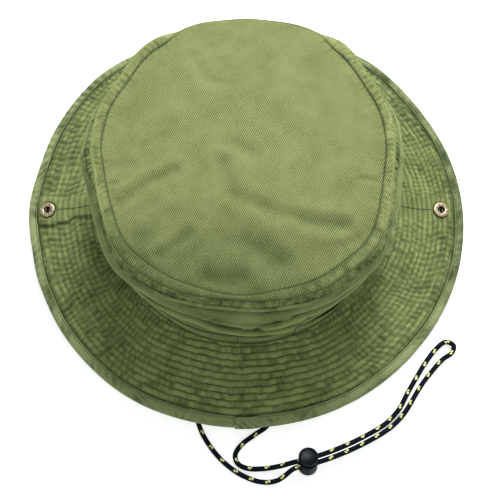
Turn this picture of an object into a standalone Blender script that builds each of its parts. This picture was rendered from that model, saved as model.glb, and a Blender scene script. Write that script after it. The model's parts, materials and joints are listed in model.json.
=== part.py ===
"""A washed cotton boonie hat: crown, stitched brim with fold-up snap sides, chin cord and cord lock.

Lengths are in metres and +Z is up. The origin is the centre of the crown tip's inner face, where the hat
rests on a head. +Y is the front of the hat, and its left and right are those of -X and +X.
Heights in this file are measured from the surface that the brim stands on, and the empty hat_frame
carries everything down to the origin's level.
"""

import math

import bmesh
import bpy
from mathutils import Matrix, Vector

MM = 0.001
GAP = 0.3 * MM

# Crown
TIP_HEIGHT = 103.0 * MM          # inner face of the tip, above the surface the brim stands on
TIP_HALF_WIDTH = 91.4 * MM
TIP_HALF_LENGTH = 95.2 * MM
TIP_FLAT_SHARE = 0.72            # the middle of the tip is level
TIP_RIM_RISE = 0.9 * MM          # and its rim stands a little higher
CLOTH = 0.9 * MM
CROWN_SEGMENTS = 60
# Outline of the wall's outer face: height, half width, half length. It bulges above the band.
WALL_OUTLINE = [
    (18.5 * MM, 93.0 * MM, 98.6 * MM),
    (42.0 * MM, 94.3 * MM, 98.6 * MM),
    (56.0 * MM, 98.2 * MM, 101.0 * MM),
    (69.0 * MM, 100.9 * MM, 102.4 * MM),
    (85.0 * MM, 100.6 * MM, 101.6 * MM),
    (96.5 * MM, 96.8 * MM, 98.8 * MM),
    (103.5 * MM, 92.2 * MM, 95.8 * MM),
]
TIP_TAPE_WIDTH = 9.0 * MM
TAPE = 0.8 * MM
SEAM_TAPE_WIDTH = 12.0 * MM
SEAM_TAPE_HEIGHTS = (53.0 * MM, 60.0 * MM, 69.0 * MM, 85.0 * MM, 96.0 * MM)
SWEATBAND_HALF_WIDTH = 91.5 * MM
SWEATBAND_HALF_LENGTH = 97.1 * MM
SWEATBAND_BOTTOM = 21.0 * MM
SWEATBAND_TOP = 51.0 * MM
BAND_HALF_WIDTH = 95.9 * MM
BAND_HALF_LENGTH = 100.1 * MM
BAND_BOTTOM = 21.8 * MM
BAND_TOP = 41.0 * MM

# Brim
BRIM_BASE_HALF_WIDTH = 93.5 * MM
BRIM_BASE_HALF_LENGTH = 99.1 * MM
BRIM_BASE_HEIGHT = 20.0 * MM     # of the middle of its thickness
BRIM_EDGE_HALF_WIDTH = 153.5 * MM
BRIM_EDGE_HALF_LENGTH = 153.4 * MM
BRIM_SIDE_RISE = 8.3 * MM        # the sides of the edge stand higher than its front and back
BRIM_CORD_LIFT = 4.4 * MM        # and the cord leaves under a raised stretch at the back
CORD_LIFT_CENTRE = math.radians(-93.0)
CORD_LIFT_FULL = math.radians(14.0)
CORD_LIFT_NONE = math.radians(34.0)
PLY = 0.6 * MM
BRIM_SEGMENTS = 72
BINDING_WIDTH = 8.0 * MM
BINDING_JOIN_X = -7.0 * MM
BINDING_HALF = 2 * GAP + 2.5 * PLY   # from the middle of the brim to the binding's outer face
PLY_INSET = PLY + GAP                # of the plies' outer edge from the edge of the binding

# Folding sides
FOLD_X = 97.5 * MM
FOLD_HEIGHT = 20.7 * MM
FOLD_GAP = 0.4 * MM
FOLD_ANGLE = math.radians(90.0)

# Snaps, which sit on the brim's side seams
SIDE_SEAM_Y = -2.0 * MM          # of the folding sides' seams; the wall's own seams are at 0
SNAP_FROM_EDGE = {"left": 14.4 * MM, "right": 16.2 * MM}
SNAP_SEGMENTS = 16
SOCKET_RADIUS = 5.6 * MM
CAP_RADIUS = 6.2 * MM
STUD_RADIUS = 4.5 * MM
PLY_HOLE_RADIUS = 2.3 * MM
WALL_HOLE_RADIUS = 1.7 * MM

# Chin cord
CORD_RADIUS = 1.75 * MM
CORD_ON_TABLE = CORD_RADIUS + GAP
CORD_PIVOT_X = 88.0 * MM
CORD_PIVOT_HEIGHT = 11.5 * MM
KNOT_SCALE = 1.7
STRAND_OFFSET = 1.95 * MM         # of each strand from the middle of the pair

# The pair of strands follows one circle, in a plane that dips towards the loop, where the lock travels
LOCK_X = 40.8 * MM
LOCK_Y = -175.6 * MM
LOCK_HEIGHT = 9.9 * MM
LOCK_HEADING = math.radians(15.4)
LOCK_DIP = math.radians(4.4)
LOCK_LEAN = math.radians(18.0)
ARC_RADIUS = 200.0 * MM
LOCK_TRAVEL = math.radians(12.5)
ARC_MARGIN = math.radians(2.8)

# Cord lock, measured from the middle of the pair of strands
BARREL_RADIUS = 6.4 * MM
BARREL_WALL = 1.2 * MM
BARREL_BOTTOM = -8.0 * MM
BARREL_TOP = 3.8 * MM
BARREL_FLOOR = 1.0 * MM
STEM_RADIUS = 4.85 * MM
STEM_BOTTOM = -3.5 * MM
BUTTON_BOTTOM = 6.3 * MM
BUTTON_TOP = 8.8 * MM
BUTTON_TRAVEL = 2.2 * MM
SLOT_HALF_WIDTH = 4.0 * MM
SLOT_HALF_HEIGHT = 2.85 * MM
SPRING_RADIUS = 3.2 * MM
SPRING_WIRE = 0.3 * MM
SPRING_TURNS = 2.5
SPRING_STEPS = 24
LOCK_SEGMENTS = 24


def clear_scene():
    for item in list(bpy.data.objects):
        bpy.data.objects.remove(item)


def make_material(name, colour, roughness, metallic=0.0):
    material = bpy.data.materials.new(name)
    material.use_nodes = True
    shader = material.node_tree.nodes["Principled BSDF"]
    shader.inputs["Base Color"].default_value = (*colour, 1.0)
    shader.inputs["Roughness"].default_value = roughness
    shader.inputs["Metallic"].default_value = metallic
    material.diffuse_color = (*colour, 1.0)
    return material


def make_empty(name, location=(0.0, 0.0, 0.0), parent=None):
    empty = bpy.data.objects.new(name, None)
    empty.empty_display_size = 0.01
    empty.location = location
    empty.parent = parent
    bpy.context.scene.collection.objects.link(empty)
    return empty


def add_object(name, data, material, parent, offset=(0.0, 0.0, 0.0)):
    """Links an object whose data was drawn in the hat's frame to a parent standing at offset."""
    part = bpy.data.objects.new(name, data)
    if part.type == "MESH":
        data.transform(Matrix.Translation(-Vector(offset)))
    part.data.materials.append(material)
    part.parent = parent
    bpy.context.scene.collection.objects.link(part)
    return part


def add_cutter(name, data, parent, offset=(0.0, 0.0, 0.0)):
    cutter = bpy.data.objects.new(name, data)
    data.transform(Matrix.Translation(-Vector(offset)))
    cutter.parent = parent
    cutter.hide_render = True
    cutter.display_type = "WIRE"
    bpy.context.scene.collection.objects.link(cutter)
    return cutter


def boolean(part, cutter, operation):
    modifier = part.modifiers.new(cutter.name, "BOOLEAN")
    modifier.operation = operation
    modifier.object = cutter
    modifier.solver = "EXACT"


def mesh_from(name, bm, smooth_angle=35.0):
    """Finishes a bmesh: doubles merged, faces pointing out, smooth except at sharp edges."""
    bmesh.ops.remove_doubles(bm, verts=bm.verts, dist=1e-7)
    bmesh.ops.recalc_face_normals(bm, faces=bm.faces)
    mesh = bpy.data.meshes.new(name)
    bm.to_mesh(mesh)
    bm.free()
    mesh.shade_smooth()
    mesh.set_sharp_from_angle(angle=math.radians(smooth_angle))
    return mesh


def cap(bm, ring):
    """Closes an end of a loft with a strip of quads between the two sides of its outline."""
    last = len(ring) - 1
    for i in range(len(ring) // 2 - 1):
        bm.faces.new((ring[i], ring[i + 1], ring[last - i - 1], ring[last - i]))


def loft(name, sections, closed):
    """Skins a row of equal closed outlines; a closed row joins its last outline to its first."""
    bm = bmesh.new()
    rings = [[bm.verts.new(point) for point in section] for section in sections]
    pairs = list(zip(rings, rings[1:]))
    if closed:
        pairs.append((rings[-1], rings[0]))
    for ring, following in pairs:
        for i in range(len(ring)):
            j = (i + 1) % len(ring)
            bm.faces.new((ring[i], ring[j], following[j], following[i]))
    if not closed:
        cap(bm, rings[0])
        cap(bm, rings[-1])
    bmesh.ops.triangulate(bm, faces=bm.faces)
    return mesh_from(name, bm)


def lathe(name, outline, segments):
    """Turns an outline of (radius, height) points about the Z axis."""
    bm = bmesh.new()
    points = [bm.verts.new((radius, 0.0, height)) for radius, height in outline]
    edges = [bm.edges.new(pair) for pair in zip(points, points[1:])]
    if outline[0][0] > 0.0:
        edges.append(bm.edges.new((points[-1], points[0])))
    bmesh.ops.spin(
        bm,
        geom=points + edges,
        axis=(0.0, 0.0, 1.0),
        cent=(0.0, 0.0, 0.0),
        steps=segments,
        angle=math.tau,
        use_merge=True,
    )
    return mesh_from(name, bm)


def box(name, low, high):
    bm = bmesh.new()
    size = Vector(high) - Vector(low)
    centre = (Vector(high) + Vector(low)) / 2
    bmesh.ops.create_cube(bm, size=1.0, matrix=Matrix.Translation(centre) @ Matrix.Diagonal((*size, 1.0)))
    return mesh_from(name, bm)


def smoothstep(value):
    value = min(1.0, max(0.0, value))
    return value * value * (3.0 - 2.0 * value)


# ---------------------------------------------------------------- crown


def oval(half_width, half_length, angle, height):
    return Vector((half_width * math.cos(angle), half_length * math.sin(angle), height))


def wall_half_sizes(height):
    """Half width and half length of the wall's outer face at a height."""
    for low, high in zip(WALL_OUTLINE, WALL_OUTLINE[1:]):
        if low[0] <= height <= high[0]:
            share = (height - low[0]) / (high[0] - low[0])
            return tuple(low[i] + (high[i] - low[i]) * share for i in (1, 2))
    raise ValueError("that height is off the wall")


def angles(first, last, steps):
    return [first + (last - first) * i / steps for i in range(steps + 1)]


def full_circle(steps):
    return [math.tau * i / steps for i in range(steps)]


def make_crown_tip(material, parent):
    rim_low = TIP_HEIGHT + TIP_RIM_RISE
    rows = [
        (TIP_FLAT_SHARE, TIP_HEIGHT),
        (1.0, rim_low),
        (1.0, rim_low + CLOTH),
        (TIP_FLAT_SHARE, TIP_HEIGHT + CLOTH),
    ]
    bm = bmesh.new()
    rings = []
    for share, height in rows:
        ring = [
            bm.verts.new(oval(TIP_HALF_WIDTH * share, TIP_HALF_LENGTH * share, angle, height))
            for angle in full_circle(CROWN_SEGMENTS)
        ]
        rings.append(ring)
    for ring, following in zip(rings, rings[1:]):
        for i in range(CROWN_SEGMENTS):
            j = (i + 1) % CROWN_SEGMENTS
            bm.faces.new((ring[i], ring[j], following[j], following[i]))
    bm.faces.new(rings[0])
    bm.faces.new(rings[-1])
    return add_object("crown_tip", mesh_from("crown_tip", bm), material, parent)


def oval_ring(name, half_width, half_length, thickness, low, high, material, parent):
    """A standing oval strip, from its outer half sizes."""
    sections = []
    for angle in full_circle(CROWN_SEGMENTS):
        outer = (half_width, half_length)
        inner = (half_width - thickness, half_length - thickness)
        sections.append([
            oval(*inner, angle, low),
            oval(*outer, angle, low),
            oval(*outer, angle, high),
            oval(*inner, angle, high),
        ])
    return add_object(name, loft(name, sections, closed=True), material, parent)


def make_tip_seam_tape(material, parent):
    top = TIP_HEIGHT + TIP_RIM_RISE - 2 * GAP
    inset = 1.5 * MM
    sections = []
    for angle in full_circle(CROWN_SEGMENTS):
        outer = (TIP_HALF_WIDTH - inset, TIP_HALF_LENGTH - inset)
        inner = (outer[0] - TIP_TAPE_WIDTH, outer[1] - TIP_TAPE_WIDTH)
        drop = TIP_RIM_RISE
        sections.append([
            oval(*inner, angle, top - TAPE - drop),
            oval(*outer, angle, top - TAPE),
            oval(*outer, angle, top),
            oval(*inner, angle, top - drop),
        ])
    return add_object("tip_seam_tape", loft("tip_seam_tape", sections, closed=True), material, parent)


def make_wall_panel(name, side, material, parent):
    """Half of the crown wall: side is +1 for the front half and -1 for the back half."""
    seam = math.asin(GAP / 2 / BRIM_BASE_HALF_LENGTH)
    sections = []
    for angle in angles(seam, math.pi - seam, CROWN_SEGMENTS // 2):
        outer = [oval(width, length, side * angle, height) for height, width, length in WALL_OUTLINE]
        inner = [
            oval(width - CLOTH, length - CLOTH, side * angle, height)
            for height, width, length in reversed(WALL_OUTLINE)
        ]
        sections.append(outer + inner)
    return add_object(name, loft(name, sections, closed=False), material, parent)


def make_side_seam_tape(name, side, material, parent):
    """The tape behind a side seam of the wall: side is +1 for +X and -1 for -X."""
    sections = []
    for height in SEAM_TAPE_HEIGHTS:
        width, length = wall_half_sizes(height)
        outline = []
        for inset, across in (
            (CLOTH + GAP, -1), (CLOTH + GAP, 0), (CLOTH + GAP, 1),
            (CLOTH + GAP + TAPE, 1), (CLOTH + GAP + TAPE, 0), (CLOTH + GAP + TAPE, -1),
        ):
            y = across * SEAM_TAPE_WIDTH / 2
            x = (width - inset) * math.sqrt(1.0 - (y / (length - inset)) ** 2)
            outline.append(Vector((side * x, y, height)))
        sections.append(outline)
    return add_object(name, loft(name, sections, closed=False), material, parent)


# ---------------------------------------------------------------- brim


def brim_edge_height(angle):
    """Height of the middle of the brim's edge: high at the sides, lifted over the cord at the back."""
    side = max(0.0, (math.cos(angle) ** 2 - 0.15) / 0.85) ** 1.3
    turned = abs((angle - CORD_LIFT_CENTRE + math.pi) % math.tau - math.pi)
    lift = smoothstep((CORD_LIFT_NONE - turned) / (CORD_LIFT_NONE - CORD_LIFT_FULL))
    return BINDING_HALF + BRIM_SIDE_RISE * side + BRIM_CORD_LIFT * lift


def brim_line(angle):
    """The straight line out across the brim at an angle: its foot, direction, normal and length."""
    foot = oval(BRIM_BASE_HALF_WIDTH, BRIM_BASE_HALF_LENGTH, angle, BRIM_BASE_HEIGHT)
    edge = oval(BRIM_EDGE_HALF_WIDTH, BRIM_EDGE_HALF_LENGTH, angle, brim_edge_height(angle))
    along = edge - foot
    length = along.length
    along.normalize()
    level = Vector((-along.y, along.x, 0.0)).normalized()
    return foot, along, along.cross(level), length


def brim_section(angle, outline):
    """Places an outline of (distance in from the edge, height off the middle) on the brim.
    A distance of None is the inner edge."""
    foot, along, normal, length = brim_line(angle)
    points = []
    for from_edge, off in outline:
        out = 0.0 if from_edge is None else length - from_edge
        points.append(foot + along * out + normal * off)
    return points


def brim_ring(name, outline):
    sections = [brim_section(angle, outline) for angle in full_circle(BRIM_SEGMENTS)]
    return loft(name, sections, closed=True)


def ply_outline(low, high):
    return [(None, low), (PLY_INSET, low), (PLY_INSET, high), (None, high)]


def binding_outline():
    outer = BINDING_HALF
    inner = BINDING_HALF - PLY
    return [
        (BINDING_WIDTH, -outer), (0.0, -outer), (0.0, outer), (BINDING_WIDTH, outer),
        (BINDING_WIDTH, inner), (PLY, inner), (PLY, -inner), (BINDING_WIDTH, -inner),
    ]


def panel_box(name, low_x, high_x, low_y, high_y, parent, offset):
    low = (low_x, low_y, -20.0 * MM)
    high = (high_x, high_y, 60.0 * MM)
    return add_cutter(name, box(name, low, high), parent, offset)


def make_brim(materials, hat, folds):
    """Cuts every layer of the brim at its side seams and at the two fold lines."""
    far = 200.0 * MM
    inner = FOLD_X - FOLD_GAP / 2
    outer = FOLD_X + FOLD_GAP / 2
    seam = GAP / 2
    join = BINDING_JOIN_X
    left, left_at = folds["left"]
    right, right_at = folds["right"]
    origin = (0.0, 0.0, 0.0)
    zones = {
        "front": (-inner, inner, seam, far, hat, origin),
        "back": (-inner, inner, -far, -seam, hat, origin),
        "middle": (-inner, inner, -far, far, hat, origin),
        "back_left": (-inner, join - seam, -far, -seam, hat, origin),
        "back_right": (join + seam, inner, -far, -seam, hat, origin),
        "left_front": (-far, -outer, SIDE_SEAM_Y + seam, far, left, left_at),
        "left_back": (-far, -outer, -far, SIDE_SEAM_Y - seam, left, left_at),
        "left": (-far, -outer, -far, far, left, left_at),
        "right_front": (outer, far, SIDE_SEAM_Y + seam, far, right, right_at),
        "right_back": (outer, far, -far, SIDE_SEAM_Y - seam, right, right_at),
        "right": (outer, far, -far, far, right, right_at),
    }
    plies = (
        ("brim_top", ply_outline(PLY / 2 + GAP, PLY * 1.5 + GAP), materials["twill"],
         ("front", "back", "left_front", "left_back", "right_front", "right_back")),
        ("brim_stiffener", ply_outline(-PLY / 2, PLY / 2), materials["interlining"],
         ("middle", "left", "right")),
        ("brim_under", ply_outline(-PLY * 1.5 - GAP, -PLY / 2 - GAP), materials["twill"],
         ("front", "back", "left_front", "left_back", "right_front", "right_back")),
        ("binding", binding_outline(), materials["binding"],
         ("front", "back_left", "back_right", "left", "right")),
    )
    cutters = {
        name: panel_box("keep_" + name, *zone[:4], zone[4], zone[5]) for name, zone in zones.items()
    }
    panels = {}
    for ply, outline, material, names in plies:
        for zone in names:
            name = ply + "_" + zone
            parent, offset = zones[zone][4:]
            panel = add_object(name, brim_ring(name, outline), material, parent, offset)
            boolean(panel, cutters[zone], "INTERSECT")
            panels[name] = panel
    return panels


# ---------------------------------------------------------------- snaps


def snap_frame(side):
    """Middle of a snap on the brim's top face, with Z along the brim's normal: side is +1 for +X."""
    foot, along, normal, length = brim_line(0.0 if side > 0 else math.pi)
    out = length - SNAP_FROM_EDGE["right" if side > 0 else "left"]
    top = PLY * 1.5 + GAP
    place = foot + along * out + normal * top + Vector((0.0, SIDE_SEAM_Y, 0.0))
    across = normal.cross(along)
    rotation = Matrix((along, across, normal)).transposed().to_4x4()
    return Matrix.Translation(place) @ rotation


def folded_frame(side):
    """The same snap frame after the side of the brim has folded up."""
    pivot = Vector((side * FOLD_X, 0.0, FOLD_HEIGHT))
    turn = Matrix.Rotation(-side * FOLD_ANGLE, 4, "Y")
    return Matrix.Translation(pivot) @ turn @ Matrix.Translation(-pivot) @ snap_frame(side)


def placed(mesh, matrix):
    mesh.transform(matrix)
    return mesh


def make_snap(side, name, materials, panels, fold, fold_at, hat):
    socket_outline = [
        (2.7 * MM, GAP), (5.2 * MM, GAP), (SOCKET_RADIUS, 0.8 * MM), (5.3 * MM, 1.7 * MM),
        (4.4 * MM, 2.1 * MM), (3.6 * MM, 1.8 * MM), (2.7 * MM, 2.0 * MM), (2.7 * MM, 1.6 * MM),
        (3.4 * MM, 1.5 * MM), (3.4 * MM, 0.7 * MM), (2.7 * MM, 0.6 * MM),
    ]
    cap_face = -3 * PLY - 3 * GAP
    cap_outline = [
        (0.0, 0.45 * MM), (1.9 * MM, 0.45 * MM), (1.9 * MM, cap_face), (CAP_RADIUS - 0.2 * MM, cap_face),
        (CAP_RADIUS, cap_face - 0.5 * MM), (CAP_RADIUS - 0.9 * MM, cap_face - 1.1 * MM),
        (3.0 * MM, cap_face - 1.5 * MM), (0.0, cap_face - 1.6 * MM),
    ]
    stud_outline = [
        (0.0, 0.8 * MM), (1.6 * MM, 0.8 * MM), (2.2 * MM, 1.2 * MM), (1.9 * MM, 1.8 * MM),
        (1.9 * MM, 2.5 * MM), (STUD_RADIUS, 2.5 * MM), (STUD_RADIUS, 3.2 * MM), (0.0, 3.2 * MM),
    ]
    open_frame = snap_frame(side)
    shut_frame = folded_frame(side)
    brass = materials["brass"]

    socket = lathe("snap_socket_" + name, socket_outline, SNAP_SEGMENTS)
    add_object("snap_socket_" + name, placed(socket, open_frame), brass, fold, fold_at)
    cap = lathe("snap_cap_" + name, cap_outline, SNAP_SEGMENTS)
    add_object("snap_cap_" + name, placed(cap, open_frame), brass, fold, fold_at)
    make_snap_spring("snap_spring_" + name, open_frame, materials["steel"], fold, fold_at)

    hole = lathe("post_hole_" + name, hole_outline(PLY_HOLE_RADIUS, 6.0 * MM), SNAP_SEGMENTS)
    hole = add_cutter("post_hole_" + name, placed(hole, open_frame), fold, fold_at)
    for ply in ("brim_top", "brim_under"):
        for half in ("front", "back"):
            boolean(panels[ply + "_" + name + "_" + half], hole, "DIFFERENCE")
    boolean(panels["brim_stiffener_" + name], hole, "DIFFERENCE")

    stud = lathe("crown_stud_" + name, stud_outline, SNAP_SEGMENTS)
    add_object("crown_stud_" + name, placed(stud, shut_frame), brass, hat)
    return shut_frame


def hole_outline(radius, reach):
    return [(0.0, -reach), (radius, -reach), (radius, reach), (0.0, reach)]


def make_snap_spring(name, frame, material, parent, offset):
    """The wire ring, open on one side, that sits in the socket's groove and grips the stud."""
    ring_radius = 3.0 * MM
    wire = 0.15 * MM
    height = 1.1 * MM
    sections = []
    for angle in angles(math.radians(35.0), math.radians(325.0), 14):
        outward = Vector((math.cos(angle), math.sin(angle), 0.0))
        centre = outward * ring_radius + Vector((0.0, 0.0, height))
        corners = [outward * math.cos(turn) + Vector((0.0, 0.0, math.sin(turn))) for turn in full_circle(6)]
        sections.append([frame @ (centre + corner * wire) for corner in corners])
    add_object(name, loft(name, sections, closed=False), material, parent, offset)


def make_stud_backing(side, name, stud_at, materials, wall_panels, seam_tape, hat):
    """The plate inside the wall whose post passes out through the wall's side seam to the stud."""
    height = stud_at.translation.z
    wall_x = wall_half_sizes(height)[0]
    inside = wall_x - CLOTH - TAPE - 3 * GAP
    face = (stud_at.translation.x * side - inside) / stud_at.col[2][0] * -side
    outline = [
        (0.0, 3.2 * MM + GAP), (1.3 * MM, 3.2 * MM + GAP), (1.3 * MM, face),
        (STUD_RADIUS, face), (STUD_RADIUS, face + TAPE), (0.0, face + TAPE),
    ]
    backing = lathe("stud_backing_" + name, outline, SNAP_SEGMENTS)
    add_object("stud_backing_" + name, placed(backing, stud_at), materials["brass"], hat)
    hole = lathe("wall_hole_" + name, hole_outline(WALL_HOLE_RADIUS, 15.0 * MM), SNAP_SEGMENTS)
    hole = add_cutter("wall_hole_" + name, placed(hole, stud_at), hat)
    for panel in wall_panels + [seam_tape]:
        boolean(panel, hole, "DIFFERENCE")


# ---------------------------------------------------------------- chin cord and lock


def lock_axes():
    """Where the lock stands: its place, and the cord's direction, inward normal and plane normal there."""
    place = Vector((LOCK_X, LOCK_Y, LOCK_HEIGHT))
    level = Vector((math.cos(LOCK_HEADING), math.sin(LOCK_HEADING), 0.0))
    along = level * math.cos(LOCK_DIP) - Vector((0.0, 0.0, math.sin(LOCK_DIP)))
    inward = Vector((-math.sin(LOCK_HEADING), math.cos(LOCK_HEADING), 0.0))
    return place, along, inward, along.cross(inward)


def arc_point(angle, offset):
    """A point on the circle that the pair of strands follows past the lock."""
    place, along, inward, _ = lock_axes()
    centre = place + inward * ARC_RADIUS
    outward = along * math.sin(angle) - inward * math.cos(angle)
    return centre + outward * (ARC_RADIUS + offset)


def arc_points(offset, backwards=False):
    steps = angles(-ARC_MARGIN, LOCK_TRAVEL + ARC_MARGIN, 6)
    if backwards:
        steps.reverse()
    return [arc_point(angle, offset) for angle in steps]


def table_points(places):
    """Points of the cord from (x, y, height) in millimetres; a height of None lies on the table."""
    return [
        Vector((x * MM, y * MM, CORD_ON_TABLE if height is None else height * MM))
        for x, y, height in places
    ]


def anchor_points(side):
    """The knotted end of a strand, from outside its tab to where the strand turns back."""
    height = CORD_PIVOT_HEIGHT / MM
    pivot = CORD_PIVOT_X / MM
    ends = [(pivot + 6.5, 0, height), (pivot + 4.5, 0, height), (pivot + 2.0, 0, height),
            (pivot - 2.0, 0, height), (pivot - 6.0, -1.5, height)]
    return table_points([(side * x, y, z) for x, y, z in ends])


def make_chin_cord(material, pivot, pivot_at):
    """One cord: out from the left tab, through the lock, round the loop and back to the right tab."""
    left_strand = table_points([
        (-79, -8, 10.6), (-70, -30, 7.0), (-58, -62, 3.2), (-46, -100, None), (-36, -133, None),
        (-31, -150, None), (-26, -160.5, None), (-18, -171, None), (-9, -179, None), (0.5, -184.5, None),
        (11, -187.6, 2.1), (21.5, -186.6, 4.6),
    ])
    outer_side = table_points([
        (99, -150.4, 2.8), (106.6, -142.4, None), (112.8, -133, None), (119, -123.6, None),
        (126.4, -114.6, None), (134, -106.6, None), (140.8, -101.8, None),
    ])
    inner_side = table_points([
        (142.4, -96.5, None), (136.6, -94.3, None), (129.3, -100, None), (121.8, -109.5, None),
        (115.4, -119.2, None), (109.3, -129, None), (103.2, -139.6, None), (96.2, -147.4, 2.8),
    ])
    right_strand = table_points([
        (22.5, -177.8, 5.2), (11.5, -179.2, 2.4), (1.5, -178.9, None), (-5, -175.6, None),
        (-6.4, -169.6, None), (-2, -163.2, None), (6, -157.2, None), (15.5, -150, None),
        (24, -134, None), (38, -100, None), (56, -60, 3.2), (70, -28, 7.4), (79, -8, 10.6),
    ])
    path = anchor_points(-1) + left_strand + arc_points(STRAND_OFFSET) + outer_side
    path += inner_side + arc_points(-STRAND_OFFSET, backwards=True) + right_strand
    path += list(reversed(anchor_points(1)))
    curve = bpy.data.curves.new("chin_cord", "CURVE")
    curve.dimensions = "3D"
    curve.resolution_u = 2
    curve.render_resolution_u = 0
    curve.bevel_depth = CORD_RADIUS
    curve.bevel_resolution = 1
    curve.use_fill_caps = True
    spline = curve.splines.new("BEZIER")
    spline.bezier_points.add(len(path) - 1)
    for point, place in zip(spline.bezier_points, path):
        point.co = place - Vector(pivot_at)
        point.handle_left_type = "AUTO"
        point.handle_right_type = "AUTO"
    for i in (0, 1, -2, -1):
        spline.bezier_points[i].radius = KNOT_SCALE
    return add_object("chin_cord", curve, material, pivot)


def make_cord_tab(name, side, material, parent):
    """The cloth tab that hangs from the brim seam and holds the strand's knotted end."""
    thickness = 1.2 * MM
    low = Vector((side * CORD_PIVOT_X - thickness / 2, -5.0 * MM, CORD_PIVOT_HEIGHT - 4.5 * MM))
    high = Vector((side * CORD_PIVOT_X + thickness / 2, 5.0 * MM, SWEATBAND_BOTTOM - GAP))
    tab = add_object(name, box(name, low, high), material, parent)
    hole = lathe("hole_" + name, hole_outline(CORD_RADIUS + 0.5 * MM, 5.0 * MM), 16)
    turn = Matrix.Rotation(math.radians(90.0), 4, "Y")
    place = Matrix.Translation((side * CORD_PIVOT_X, 0.0, CORD_PIVOT_HEIGHT))
    boolean(tab, add_cutter("hole_" + name, placed(hole, place @ turn), parent), "DIFFERENCE")
    return tab


def slot_cutter(name, low, high, parent):
    """A slot along the cord, through the lock, with rounded sides."""
    bm = bmesh.new()
    size = Vector((20.0 * MM, SLOT_HALF_WIDTH * 2, high - low))
    centre = Vector((0.0, 0.0, (low + high) / 2))
    bmesh.ops.create_cube(bm, size=1.0, matrix=Matrix.Translation(centre) @ Matrix.Diagonal((*size, 1.0)))
    lengthwise = [e for e in bm.edges if abs((e.verts[0].co - e.verts[1].co).x) > 1.0 * MM]
    bmesh.ops.bevel(bm, geom=lengthwise, offset=0.9 * MM, segments=2, profile=0.5, affect="EDGES")
    return add_cutter(name, mesh_from(name, bm), parent)


def make_cord_lock(materials, frame):
    """Barrel, plunger and spring, drawn with Z up the lock's own axis and X along the cord."""
    plastic = materials["plastic"]
    floor = BARREL_BOTTOM + BARREL_FLOOR
    inner = BARREL_RADIUS - BARREL_WALL
    barrel_outline = [
        (0.0, BARREL_BOTTOM), (BARREL_RADIUS - 1.2 * MM, BARREL_BOTTOM),
        (BARREL_RADIUS, BARREL_BOTTOM + 1.4 * MM), (BARREL_RADIUS, BARREL_TOP - 0.5 * MM),
        (BARREL_RADIUS - 0.4 * MM, BARREL_TOP), (inner, BARREL_TOP), (inner, floor), (0.0, floor),
    ]
    barrel = add_object("lock_barrel", lathe("lock_barrel", barrel_outline, LOCK_SEGMENTS), plastic, frame)
    slot = slot_cutter("barrel_slot", -SLOT_HALF_HEIGHT, SLOT_HALF_HEIGHT, frame)
    boolean(barrel, slot, "DIFFERENCE")

    stem_outline = [
        (0.0, STEM_BOTTOM), (STEM_RADIUS, STEM_BOTTOM), (STEM_RADIUS, BUTTON_BOTTOM),
        (BARREL_RADIUS - 0.4 * MM, BUTTON_BOTTOM), (BARREL_RADIUS, BUTTON_BOTTOM + 0.5 * MM),
        (BARREL_RADIUS, BUTTON_TOP - 1.3 * MM), (BARREL_RADIUS - 0.9 * MM, BUTTON_TOP - 0.5 * MM),
        (3.2 * MM, BUTTON_TOP), (0.0, BUTTON_TOP),
    ]
    plunger = add_object("lock_plunger", lathe("lock_plunger", stem_outline, LOCK_SEGMENTS), plastic, frame)
    reach = SLOT_HALF_HEIGHT + BUTTON_TRAVEL
    boolean(plunger, slot_cutter("plunger_slot", -SLOT_HALF_HEIGHT, reach, frame), "DIFFERENCE")

    low = floor + SPRING_WIRE + GAP
    high = STEM_BOTTOM - SPRING_WIRE - GAP
    sections = []
    for i in range(SPRING_STEPS + 1):
        turn = math.tau * SPRING_TURNS * i / SPRING_STEPS
        outward = Vector((math.cos(turn), math.sin(turn), 0.0))
        centre = outward * SPRING_RADIUS + Vector((0.0, 0.0, low + (high - low) * i / SPRING_STEPS))
        ring = [outward * math.cos(a) + Vector((0.0, 0.0, math.sin(a))) for a in full_circle(6)]
        sections.append([centre + corner * SPRING_WIRE for corner in ring])
    add_object("lock_spring", loft("lock_spring", sections, closed=False), materials["steel"], frame)


def make_lock_frame(parent, parent_at):
    """An empty at the centre of the lock's travel, turned so that its Z is the joint's axis, holds the
    empty in the lock, which leans from that plane's normal towards the hat."""
    place, along, inward, normal = lock_axes()
    centre = place + inward * ARC_RADIUS
    travel = make_empty("lock_travel", parent=parent)
    travel_turn = Matrix((along, inward, normal)).transposed().to_4x4()
    travel.matrix_local = Matrix.Translation(centre - Vector(parent_at)) @ travel_turn
    frame = make_empty("lock_frame", parent=travel)
    frame.matrix_local = Matrix.Translation((0.0, -ARC_RADIUS, 0.0)) @ Matrix.Rotation(-LOCK_LEAN, 4, "X")
    return frame


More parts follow.
